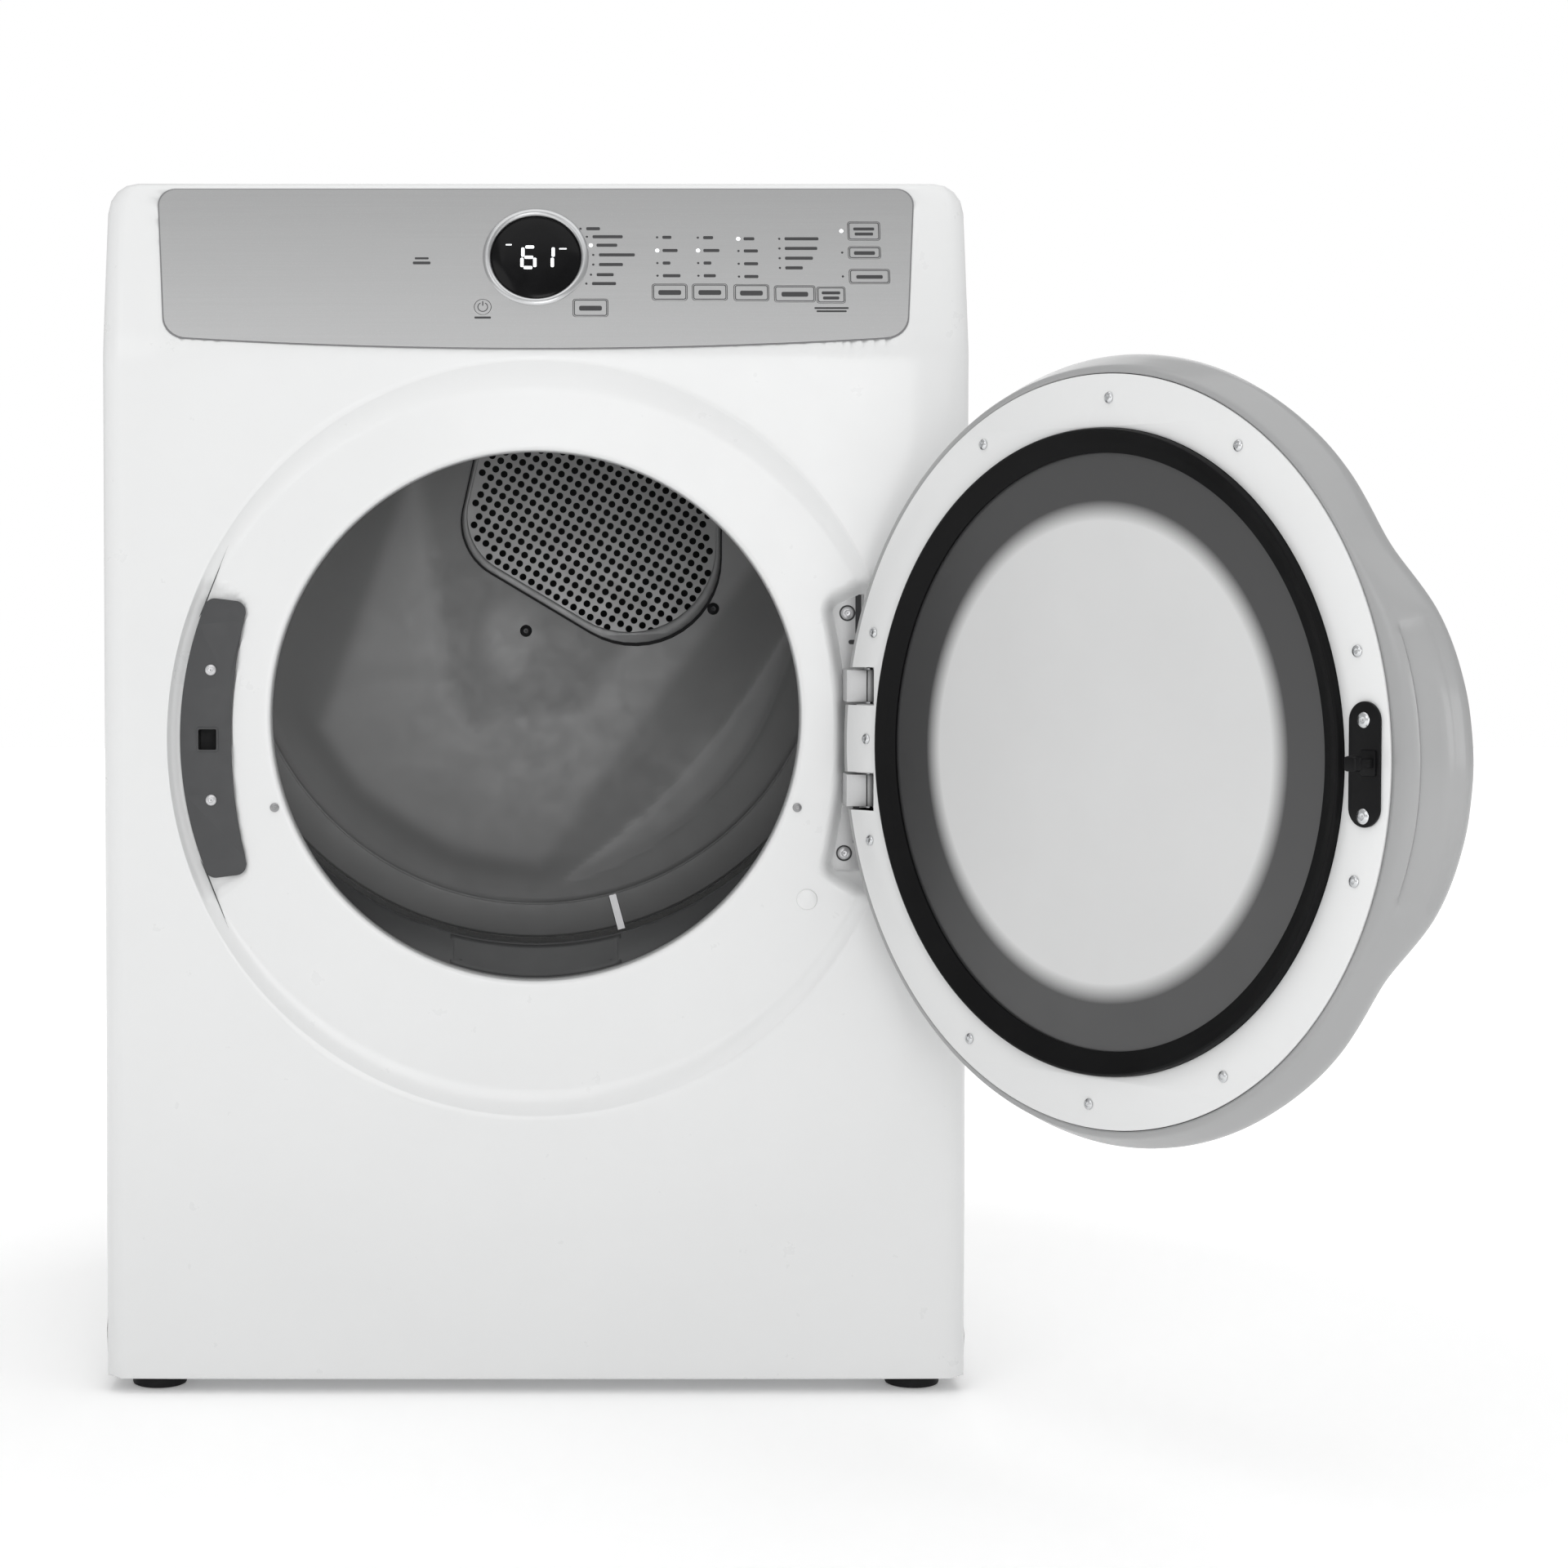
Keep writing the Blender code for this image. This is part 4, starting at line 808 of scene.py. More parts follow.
def front_rows():
    """Loops from inside the opening, over the ring, the recess and the face, to the back edge."""
    angles = front_angles()
    c, s = np.cos(angles), np.sin(angles)
    rows = []

    def add(x, y, z):
        rows.append(np.stack([x, y + 0 * x, z], axis=1))

    for depth in (0.030, 0.020, RING_Y + 0.0045):
        add(OPENING_R * c, depth, OPENING_Z + OPENING_R * s)
    for step in range(1, 5):
        swing = math.radians(22.5 * step)
        radius = OPENING_R + 0.0035 * (1 - math.cos(swing))
        add(radius * c, RING_Y + 0.0035 * (1 - math.sin(swing)), OPENING_Z + radius * s)
    start = OPENING_R + 0.0036
    for share in np.linspace(0, 1, 30)[1:]:
        x = (start + (RECESS_IN[0] - start) * share) * c
        middle = OPENING_Z + (RECESS_Z - OPENING_Z) * share
        z = middle + (start + (RECESS_IN[1] - start) * share) * s
        add(x, RING_Y + ring_pockets(x, z), z)
    for share in (0.14, 0.28, 0.42, 0.56, 0.69, 0.80, 0.88, 0.94, 0.975, 1.0):
        x = (RECESS_IN[0] + (RECESS_OUT[0] - RECESS_IN[0]) * share) * c
        z = RECESS_Z + (RECESS_IN[1] + (RECESS_OUT[1] - RECESS_IN[1]) * share) * s
        rise = share**1.7 if share < 0.9 else 1 - (1 - share) * 1.62
        fade = np.where(x < 0, 1 - smooth_step(share, 0.7, 1.0), 1.0)
        depth = RING_Y * (1 - rise) + ring_pockets(x, z) * fade
        depth = depth + front_face(x, z) * share
        add(x, depth, z)
    rect = (HALF - SIDE_ROUND, PANEL_LOW + BOTTOM_ROUND, TOP - TOP_ROUND)
    edge = reach_of(angles, *rect, TOP_CORNER - 0.010, 0.0005)
    near_x, near_z = RECESS_OUT[0] * c, RECESS_Z + RECESS_OUT[1] * s
    far_x, far_z = edge * c, RECESS_Z + edge * s
    for share in np.linspace(0, 1, 37)[1:]:
        x = near_x + (far_x - near_x) * share
        z = near_z + (far_z - near_z) * share
        add(x, front_face(x, z) + np.where(x > 0, ring_pockets(x, z), 0), z)
    for step in range(1, 7):
        swing = math.radians(15 * step)
        short = 1 - math.sin(swing)
        rect = (
            HALF - SIDE_ROUND * short,
            PANEL_LOW + BOTTOM_ROUND * short,
            TOP - TOP_ROUND * short,
            TOP_CORNER - 0.010 * short,
            max(BOTTOM_CORNER * (1 - short), 0.0005),
        )
        reach = reach_of(angles, *rect)
        x, z = reach * c, RECESS_Z + reach * s
        side = box_distance(x, z, *rect)[1]
        other = np.where(s > 0, TOP_ROUND, BOTTOM_ROUND)
        radius = SIDE_ROUND * side + other * (1 - side)
        add(x, front_face(x, z) + radius * (1 - math.cos(swing)), z)
    last = rows[-1]
    end = np.where(last[:, 2] < PANEL_HIGH, RETURN, CONSOLE_BACK - 0.0002)
    for share in (0.5, 1.0):
        rows.append(last.copy())
        rows[-1][:, 1] = last[:, 1] + (end - last[:, 1]) * share
    return rows


def open_patch(obj, across, up):
    """Leaves out the faces of a front sheet whose middles lie in a rectangle."""
    bm = bmesh.new()
    bm.from_mesh(obj.data)
    gone = []
    for face in bm.faces:
        middle = face.calc_center_median()
        if across[0] < middle.x < across[1] and up[0] < middle.z < up[1]:
            gone.append(face)
    bmesh.ops.delete(bm, geom=gone, context="FACES")
    bm.to_mesh(obj.data)
    bm.free()


def white_front():
    """The white front, console and recess as one skin, open behind the latch's slot."""
    white = {"slot": "white_enamel", "stands_for": ["front_panel", "console_housing"]}
    skin = piece("front_skin", loft(front_rows()), "enamel", sharp=50, **white)
    turn_sheet(skin, 1, -1)
    open_patch(skin, (-0.2690, -0.2495), (LATCH_Z - 0.0110, LATCH_Z + 0.0110))
    grow(skin, 0.0008)


def turn_sheet(obj, axis, sign):
    """Turns an open sheet so that most of it faces that way along the axis."""
    if sum(face.normal[axis] * face.area for face in obj.data.polygons) * sign < 0:
        obj.data.flip_normals()


def cut(obj, bm, crossing=False):
    """Takes a solid out of a piece for good, modifiers included."""
    bpy.context.view_layer.update()
    tool = bpy.data.objects.new("tool", mesh_of("tool", bm, False))
    bpy.context.scene.collection.objects.link(tool)
    tool.matrix_world = obj.matrix_world.copy()
    step = obj.modifiers.new("Cut", "BOOLEAN")
    step.operation = "DIFFERENCE"
    step.solver = "EXACT"
    step.use_self = crossing
    step.object = tool
    bpy.context.view_layer.update()
    graph = bpy.context.evaluated_depsgraph_get()
    mesh = bpy.data.meshes.new_from_object(obj.evaluated_get(graph))
    old = obj.data
    obj.modifiers.clear()
    obj.data = mesh
    mesh.name = old.name + "_cut"
    bpy.data.objects.remove(tool, do_unlink=True)


def sheet_grid(across, up, place, skip=lambda a, b: False):
    """A sheet over a grid: place turns two coordinates into a point."""
    bm = bmesh.new()
    grid = [[bm.verts.new(place(a, b)) for b in up] for a in across]
    for i in range(len(across) - 1):
        for j in range(len(up) - 1):
            middle = ((across[i] + across[i + 1]) / 2, (up[j] + up[j + 1]) / 2)
            if skip(*middle):
                continue
            bm.faces.new((grid[i][j], grid[i + 1][j], grid[i + 1][j + 1], grid[i][j + 1]))
    loose = [vert for vert in bm.verts if not vert.link_faces]
    bmesh.ops.delete(bm, geom=loose, context="VERTS")
    return bm


def ticks(*spans):
    """Grid lines: each span is (start, end, count), ends shared."""
    lines = []
    for start, end, count in spans:
        lines += list(np.linspace(start, end, count + 1))
    return sorted(set(round(float(value), 6) for value in lines))


def cabinet_shell():
    """The two sides and the top, as thin sheets."""
    side_top = TOP - TOP_CORNER + 0.0003
    front_y = RETURN + 0.0004
    notch_y = CONSOLE_BACK + 0.0002
    spans = [(front_y, notch_y, 10), (notch_y, 0.100, 5), (0.100, 0.125, 10)]
    spans += [(0.125, 0.600, 12), (0.600, 0.625, 10), (0.625, BACK - 0.003, 6)]
    deep = ticks(*spans, (BACK - 0.003, BACK, 4))
    spans = [(PANEL_LOW, 0.070, 5), (0.070, 0.095, 10), (0.095, 0.745, 16)]
    spans += [(0.745, 0.770, 10), (0.770, PANEL_HIGH, 5)]
    tall = ticks(*spans, (PANEL_HIGH, side_top, 8))

    def depth(y, z):
        """A shallow stiffening field pressed into each side."""
        across = max(abs(y - 0.3625) - 0.2500, abs(z - 0.420) - 0.338) + 0.012
        inside = 1 - float(smooth_step(np.array(across), 0.0, 0.012))
        rear = max(0.0, y - (BACK - 0.003)) / 0.003
        return 0.0016 * inside + 0.003 * (1 - math.sqrt(max(0, 1 - rear * rear)))

    def notched(y, z):
        return y < notch_y and z > PANEL_HIGH

    for side, name in ((-1, "left"), (1, "right")):
        bm = sheet_grid(deep, tall, lambda y, z: (side * (HALF - depth(y, z)), y, z), notched)
        node = f"side_panel_{name}"
        skin = piece(f"side_skin_{name}", bm, "enamel", slot="white_enamel", stands_for=[node])
        turn_sheet(skin, 0, side)
        grow(skin, SHEET)

    def roof(x, y):
        reach = min(max(0.0, abs(x) - (HALF - TOP_CORNER)) / TOP_CORNER, 1.0)
        fall = TOP_CORNER * (1 - math.sqrt(1 - reach * reach))
        rear = max(0.0, y - (BACK - 0.008)) / 0.008
        fall = max(fall, 0.008 * (1 - math.sqrt(max(0.0, 1 - rear * rear))))
        return (x, y, TOP - fall)

    bends = [HALF - TOP_CORNER * (1 - math.sin(math.radians(9 * i))) for i in range(11)]
    across = sorted(
        set([round(-v, 6) for v in bends] + [round(v, 6) for v in bends])
        | set(round(float(v), 6) for v in np.linspace(-0.320, 0.320, 17))
    )
    rear_bends = [BACK - 0.008 * (1 - math.sin(math.radians(15 * i))) for i in range(7)]
    along = sorted(set(ticks((notch_y, BACK - 0.008, 14))) | set(round(v, 6) for v in rear_bends))
    bm = sheet_grid(across, along, roof)
    top = piece("top_skin", bm, "enamel", slot="white_enamel", stands_for=["top_panel"])
    turn_sheet(top, 2, 1)
    grow(top, SHEET)


# ---------------------------------------------------------------- console
def on_console(x, s, out):
    """A place on the console's leaning plane."""
    return plane_out(out) @ Matrix.Translation((x, s, 0))


def fascia_outline(grow=0.0):
    """The silver plate's edge: straight top, sides leaning in, and a bowed foot."""
    top, side_top = 0.1385 + grow, 0.3015 + grow
    side_low, low = 0.2925 + grow, 0.0112 - grow
    across = np.linspace(-0.262, 0.262, 33)
    bow = [(x, 0.0012 - grow + 0.0100 * (x / 0.2925) ** 2) for x in across]
    corners = [(side_low, low), (side_top, top), (-side_top, top), (-side_low, low)]
    return rounded(bow + corners, [0] * len(bow) + [0.019, 0.0135, 0.0135, 0.019], 9)


def console():
    """The silver plate with its holes, and all that shows in and on it."""
    holes = [circle(0, DISPLAY_S, BEZEL_R - 0.0012, 72)]
    holes.append(circle(KEY_POWER[0], KEY_POWER[1], KEY_POWER[2] + 0.00035, 32))
    for x, s, width, height in KEYS.values():
        holes.append(rectangle(x, s, width + 0.0007, height + 0.0007, 0.0024))
    bm = plate([fascia_outline()] + holes, 0.0009, plane_out(0.0010), 0.00022)
    silver = {"slot": "silver_console", "stands_for": ["console_fascia"]}
    piece("fascia_plate", bm, "silver", sharp=8, **silver)
    # a grey band showing just outside the plate's edge: painted shadow round the plate
    rims = [fascia_outline(0.0010), fascia_outline(-0.0002)]
    piece("fascia_edge_line", plate(rims, 0.0008, plane_out(0.0005), 0.0002), "edge_grey")
    # a dark sheet behind the keys: painted shade seen through the gaps round them
    film = plate([fascia_outline(-0.010)], 0.0004, plane_out(-0.0029))
    piece("key_backing_film", film, "gap_dark", slot="black_gloss", smooth=False)
    keys()
    display()
    printing()


def label_bar(x, s, width, height, out, count=1):
    """Plain printed bars that stand where words would be."""
    bars = []
    pitch = height * 1.7
    for row in range(count):
        centre = s + (count - 1) / 2 * pitch - row * pitch
        outline = rectangle(x, centre, width * (1 - 0.12 * (row % 2)), height, height * 0.3, 3)
        bars.append(plate([outline], PRINT, plane_out(out + 0.00005)))
    return bars


def keys():
    """Key caps flush with the plate, each with a thin printed frame and a plain bar."""
    face, faces = plane_out(CAP_FACE), ["silver", "print_dark"]

    def cap_piece(name, cap, marks):
        whole = joined([cap] + [marked(mark, 1) for mark in marks])
        piece(name + "_cap", whole, faces, name, "silver_console", [name], sharp=8)

    for name, (x, s, width, height) in KEYS.items():
        cap = plate([rectangle(x, s, width, height, 0.0022)], CAP_DEEP, face, 0.00025)
        frame_out = rectangle(x, s, width - 0.0012, height - 0.0012, 0.0018)
        frame_in = rectangle(x, s, width - 0.0026, height - 0.0026, 0.0012)
        marks = [plate([frame_out, frame_in], PRINT, plane_out(0.00095))]
        rows = 2 if name in ("key_start", "key_select") else 1
        bar = 0.0042 if rows == 1 else 0.0026
        if name in ("key_cancel", "key_add_time"):
            bar = 0.0032
        marks += label_bar(x, s - 0.0004, width * 0.66, bar, CAP_FACE, rows)
        cap_piece(name, cap, marks)
    x, s, radius = KEY_POWER
    cap = plate([circle(x, s, radius, 40)], CAP_DEEP, face, 0.00025)
    ring = arc((x, s), 0.0042, 118, 422, 30) + arc((x, s), 0.0035, 422, 118, 30)
    stem = rectangle(x, s + 0.0030, 0.0008, 0.0040, 0.0003, 3)
    marks = [plate([outline], PRINT, plane_out(0.00095)) for outline in (ring, stem)]
    cap_piece("key_power", cap, marks)


SEGMENTS = {"6": "acdefg", "1": "bc"}


def digit(letter, x, s, width, height, out):
    """A seven-bar figure."""
    t = width * 0.205
    w, h = width - t, height - t
    bars = {
        "a": (0, h / 2, w, t), "g": (0, 0, w, t), "d": (0, -h / 2, w, t),
        "f": (-w / 2, h / 4, t, h / 2), "b": (w / 2, h / 4, t, h / 2),
        "e": (-w / 2, -h / 4, t, h / 2), "c": (w / 2, -h / 4, t, h / 2),
    }
    made = []
    for key in SEGMENTS[letter]:
        dx, ds, bw, bh = bars[key]
        if bw > bh:
            bw -= t * 1.2
        else:
            bh -= t * 0.35
        outline = rectangle(x + dx + ds * 0.08, s + ds, bw, bh, t * 0.35, 3)
        made.append(plate([outline], PRINT, plane_out(out)))
    return made


def display():
    """The bright ring, the black lens in it, and the lit digits and dashes."""
    inner = [(0.0004, -0.0036), (0.0004, 0.0004), (0.0010, 0.0016), (0.0022, 0.0026)]
    outer = [(0.0018, 0.0024), (0.0006, 0.0018), (0.0, 0.0011), (0.0002, 0.00104)]
    bezel = [(LENS_R + past, out) for past, out in inner + [(0.0036, 0.0029)]]
    outer += [(0.0016, 0.00104), (0.0016, -0.0036)]
    bezel += [(BEZEL_R - short, out) for short, out in outer]
    ring = placed(lathe(bezel, (0, 0, 0), 128, "Z"), on_console(0, DISPLAY_S, 0))
    piece("display_ring", ring, "bezel", slot="chrome_trim", stands_for=["display_bezel"])
    lens = [(0.0, 0.0011), (0.012, 0.00105), (0.024, 0.0008), (LENS_R - 0.0012, 0.00035)]
    lens += [(LENS_R, -0.0004), (LENS_R, -0.0030), (0.0, -0.0030)]
    disc = placed(lathe(lens, (0, 0, 0), 128, "Z", closed=False), on_console(0, DISPLAY_S, 0))
    piece("display_glass", disc, "display_black", slot="black_gloss", stands_for=["display_lens"])
    marks = digit("6", -0.0055, DISPLAY_S - 0.0005, 0.0128, 0.0205, 0.0013)
    marks += digit("1", 0.0085, DISPLAY_S - 0.0005, 0.0125, 0.0205, 0.0013)
    for x, s, width in ((-0.0215, 0.0105, 0.0048), (0.0215, 0.0070, 0.0060)):
        bar = rectangle(x, DISPLAY_S + s, width, 0.0011, 0.0004, 3)
        marks.append(plate([bar], PRINT, plane_out(0.0011)))
    piece("display_digits", joined(marks), "lit", smooth=False)


def printing():
    """Lamps and plain bars printed on the silver plate."""
    marks, lamps, lit = [], [], []
    columns = [
        (0.1090 - 0.0126, (0.0965, 0.0850, 0.0741, 0.0631), 1, (0.0072, 0.0120, 0.0062, 0.0140)),
        (0.1418 - 0.0130, (0.0962, 0.0850, 0.0741, 0.0631), 1, (0.0080, 0.0128, 0.0062, 0.0096)),
        (0.1742 - 0.0133, (0.0952, 0.0846, 0.0735, 0.0624), 0, (0.0086, 0.0112, 0.0112, 0.0112)),
        (0.2020 - 0.0085, (0.0952, 0.0868, 0.0783, 0.0699), 9, (0.0270, 0.0258, 0.0222, 0.0140)),
    ]
    for x, heights, on, widths in columns:
        for row, (s, width) in enumerate(zip(heights, widths)):
            (lit if row == on else lamps).append((x, s))
            marks += label_bar(x + 0.0042 + width / 2, s, width, 0.0027, 0.0010)
    around = [(0.0356, 0.1040), (0.0406, 0.0970), (0.0437, 0.0896), (0.0456, 0.0812)]
    around += [(0.0456, 0.0728), (0.0437, 0.0640), (0.0400, 0.0563)]
    for row, (x, s) in enumerate(around):
        (lit if row == 2 else lamps).append((x, s))
        width = (0.0110, 0.0240, 0.0165, 0.0285, 0.0190, 0.0135, 0.0190)[row]
        marks += label_bar(x + 0.0045 + width / 2, s, width, 0.0027, 0.0010)
    for x, s in ((0.2430, 0.1020), (0.2432, 0.0832), (0.2432, 0.0625)):
        (lit if s > 0.1 else lamps).append((x, s))
    marks += label_bar(KEY_POWER[0], KEY_POWER[1] - 0.0092, 0.0130, 0.0018, 0.0010)
    marks += label_bar(0.2335, 0.0338, 0.0270, 0.0016, 0.0010, 2)
    marks += label_bar(-0.0905, 0.0742, 0.0140, 0.0024, 0.0010)
    marks += label_bar(-0.0905, 0.0782, 0.0110, 0.0018, 0.0010)
    piece("console_print", joined(marks), "print_dark", smooth=False)
    for name, places, radius, finish in (
        ("console_lamps_off", lamps, 0.00095, "print_dark"),
        ("console_lamps_lit", lit, 0.00165, "lit"),
    ):
        dome = [(radius, 0.0), (radius * 0.8, 0.00022), (radius * 0.4, 0.00032), (0.0, 0.00035)]
        dots = []
        for x, s in places:
            dot = lathe(dome, (0, 0, 0), 16, "Z", closed=False)
            dots.append(placed(dot, on_console(x, s, 0.0010)))
        piece(name, joined(dots), finish)


# ---------------------------------------------------------------- drum and bulkheads
def bump_at(value, middle, width):
    """A smooth hump: 1 at its middle, nearly 0 two widths away."""
    return math.exp(-(((value - middle) / width) ** 2))


def drum():
    """The rolled drum with two stiffening beads, its weld, and its vanes."""
    inner, outer, wall = DRUM_R - 0.0002, DRUM_R + 0.0013, 0.0015

    def bead(y):
        return 0.0016 * bump_at(y, 0.160, 0.006) + 0.0016 * bump_at(y, 0.505, 0.006)

    inside = [(0.2768, DRUM_FRONT + 0.0001), (0.2760, DRUM_FRONT + 0.0012)]
    inside += [(0.2770, DRUM_FRONT + 0.0028), (0.3050, DRUM_FRONT + 0.0060)]
    for degrees in (20, 40, 60, 80):
        swing = math.radians(degrees)
        radius = inner - 0.012 + 0.012 * math.sin(swing)
        inside.append((radius, DRUM_FRONT + 0.0180 - 0.012 * math.cos(swing)))
    for y in np.linspace(DRUM_FRONT + 0.024, DRUM_BACK - 0.006, 90):
        inside.append((inner - bead(y), y))
    inside += [(inner, DRUM_BACK - 0.001), (inner + 0.0007, DRUM_BACK), (outer, DRUM_BACK)]
    outside = [(outer, DRUM_BACK - 0.006)]
    for y in np.linspace(DRUM_BACK - 0.010, DRUM_FRONT + 0.024, 60):
        outside.append((min(outer, inner + wall - bead(y)), y))
    outside += [(outer - 0.002, DRUM_FRONT + 0.010), (outer - 0.008, DRUM_FRONT + 0.0032)]
    outside += [(0.3050, DRUM_FRONT + 0.0012), (0.2785, DRUM_FRONT + 0.0001)]
    shell = lathe(inside + outside, (0, 0, DRUM_Z), 192)
    piece("drum_shell", shell, "drum", "drum", "drum_grey", ["drum"])
    foot = DRUM_Z - inner
    seam = block((-0.0035, 0.094, foot - 0.0001), (0.0035, 0.590, foot + 0.0009))
    piece("drum_seam_weld", seam, "steel", "drum")
    for number, degrees in enumerate((0, 180), 1):
        node = f"drum_vane_{number}"
        piece(f"vane_{number}", vane(degrees), "vane", "drum", "dark_plastic", [node])


def vane(degrees):
    """A lifting vane: a ridge with rounded ends and a groove round its middle."""
    rows = []
    turn = math.radians(degrees)
    for y in np.linspace(0.0852, 0.5748, 46):
        end = min(y - 0.085, 0.575 - y)
        rise = math.sqrt(max(0.0, 1 - max(0.0, 1 - end / 0.030) ** 2))
        tall = 0.0545 * (0.25 + 0.75 * rise)
        row = []
        for share in np.linspace(-1, 1, 25):
            across = 0.0445 * share * (0.90 + 0.10 * rise)
            lift = (1 - smooth_step(np.array(abs(share)), 0.10, 1.0)) ** 0.8
            radius = DRUM_R - 0.0040 - tall * float(lift)
            radius -= 0.0016 * bump_at(y, 0.330, 0.004) * float(lift)
            x = radius * math.cos(turn) - across * math.sin(turn)
            z = radius * math.sin(turn) + across * math.cos(turn)
            row.append((x, y, DRUM_Z + z))
        rows.append(row)
    return loft(rows, capped=True)


def rectangle_row(angles, centre_z, half, low, high, y):
    """A loop on a rectangle, one point along each ray from a centre inside it."""
    row = []
    for angle in angles:
        c, s = math.cos(angle), math.sin(angle)
        reach = half / max(abs(c), 1e-9)
        reach = min(reach, (high - centre_z) / s if s > 1e-9 else 9.0)
        reach = min(reach, (low - centre_z) / s if s < -1e-9 else 9.0)
        row.append((reach * c, y, centre_z + reach * s))
    return row


def corner_angles(count, centre_z, half, low, high):
    """Even angles, the nearest ones moved onto a rectangle's corners."""
    angles = [2 * math.pi * i / count for i in range(count)]
    for x, z in ((half, high), (-half, high), (-half, low), (half, low)):
        wanted = math.atan2(z - centre_z, x) % (2 * math.pi)
        angles[min(range(count), key=lambda i: abs(angles[i] - wanted))] = wanted
    return sorted(angles)


def ring_row(angles, radius, centre_z, y):
    """A round loop at a depth."""
    return [(radius * math.cos(a), y, centre_z + radius * math.sin(a)) for a in angles]


def funnel():
    """The front bulkhead, with its funnel from the door opening to the drum's mouth."""
    half, low, high = HALF - 0.0146, 0.190, 0.900
    angles = corner_angles(192, OPENING_Z, half, low, high)
    rows = [rectangle_row(angles, OPENING_Z, half, low, high, 0.050)]
    rows.append(rectangle_row(angles, OPENING_Z, half, low, high, 0.0385))
    rows.append(rectangle_row(angles, OPENING_Z, half - 0.0010, low + 0.001, high - 0.001, 0.0382))
    mouth = OPENING_R + 0.0018
    for share in (1.0, 0.5, 0.16, 0.03):
        rows.append(ring_row(angles, mouth + 0.06 * share, OPENING_Z, 0.0382))
    for share in np.linspace(0, 1, 14):
        bow = 0.004 * math.sin(math.pi * share)
        radius = mouth + (LIP_R - mouth) * share
        centre = OPENING_Z + (DRUM_Z - OPENING_Z) * share
        rows.append(ring_row(angles, radius, centre, 0.0384 + 0.0236 * share - bow * 0.5))
    for y in (0.0632, 0.0655, 0.0760):
        rows.append(ring_row(angles, LIP_R, DRUM_Z, y))
    grey = {"slot": "drum_grey", "stands_for": ["front_bulkhead"]}
    bulkhead = piece("front_bulkhead_skin", loft(rows), "funnel", **grey)
    grow(bulkhead, SHEET)
    cut(bulkhead, block((-0.0665, 0.0415, 0.30), (0.0665, 0.0585, 0.40)))
    ring = [(LIP_R + 0.0003, 0.0640), (LIP_R + 0.0036, 0.0640), (LIP_R + 0.0042, 0.0660)]
    ring += [(LIP_R + 0.0042, 0.0740), (LIP_R + 0.0034, 0.0755), (LIP_R + 0.0003, 0.0755)]
    piece("drum_felt_ring", lathe(ring, (0, 0, DRUM_Z), 160), "felt")


def side_of(x, z, line):
    """Signed distances to a chain of lines taken together: negative inside all of them."""
    worst = np.full(np.shape(x), -9.0)
    for (ax, az), (bx, bz) in zip(line, line[1:]):
        length = math.hypot(bx - ax, bz - az)
        away = ((z - az) * (bx - ax) - (x - ax) * (bz - az)) / length
        worst = np.maximum(worst, -away)
    return worst


# The rear wall's raised field and the sunk one inside it, as chains of lines.
PLATEAU = [(-0.118, 0.760), (-0.205, 0.515), (-0.168, 0.455), (-0.078, 0.396), (0.002, 0.382),
           (0.205, 0.668)]
DIP = [(-0.107, 0.700), (-0.086, 0.545), (-0.066, 0.519), (0.042, 0.532), (0.086, 0.596)]
PLATEAU_RISE = 0.0024


def grille_distance(x, z):
    """Signed distance to the inlet plate's edge, negative inside it."""
    outline = grille_outline(0.0)
    return side_of(x, z, (outline + outline[:1])[::-1])


def dip_depth(x, z):
    """The sunk field under the grille, from 0 to 1, with a boss left in it; the wall's colour
    darkens it with painted shade.
    """
    inside = 1 - smooth_step(side_of(x, z, DIP), -0.012, 0.010)
    boss = 1 - smooth_step(np.hypot(x + 0.028, (z - 0.600) * 0.72), 0.014, 0.040)
    return inside * (1 - boss) * smooth_step(grille_distance(x, z), 0.008, 0.030)


def crescent(x, z):
    """The curved facet at the lower right, between two arcs that meet at its tip; the wall's colour
    lightens it with a painted highlight.
    """
    outer = np.hypot(x + 0.0532, z - 0.6601) - 0.3085
    inner = 0.6800 - np.hypot(x + 0.3563, z - 0.9274)
    return (1 - smooth_step(np.maximum(outer, inner), -0.003, 0.003)) * smooth_step(x, 0.018, 0.045)


def wall_relief(x, z):
    """Height of the rear wall's pressings, toward the front."""
    plateau = side_of(x, z, PLATEAU)
    height = PLATEAU_RISE * (1 - smooth_step(plateau, -0.012, 0.055))
    return height - 0.0016 * dip_depth(x, z) + 0.0012 * crescent(x, z)


def wall_painted_shade(x, z):
    """Painted shade and highlight for the coat: darker on slopes, sunk field and outer band,
    lighter on the crescent and along the groove.
    """
    plateau = side_of(x, z, PLATEAU)
    flat = 1 - smooth_step(plateau, -0.006, 0.012)
    slope = 0.70 + 0.08 * smooth_step(z, 0.60, 0.46) + 0.05 * smooth_step(plateau, 0.02, 0.09)
    level = slope + (1 - slope) * flat
    # painted shade in the sunk field
    level = level - 0.27 * dip_depth(x, z) * flat
    # painted highlight on the crescent facet
    level = level + 0.52 * crescent(x, z) * (1 - flat)
    around = np.hypot(x, z - DRUM_Z)
    # a thin painted highlight along the groove at the lower left, and painted shade on the outer
    # band
    line = np.exp(-(((around - 0.2826) / 0.0012) ** 2)) * smooth_step(x, 0.03, -0.05)
    far = smooth_step(around, 0.270, 0.276)
    return level * (1 - far) + 0.82 * far + 0.55 * line * smooth_step(z, 0.60, 0.52)


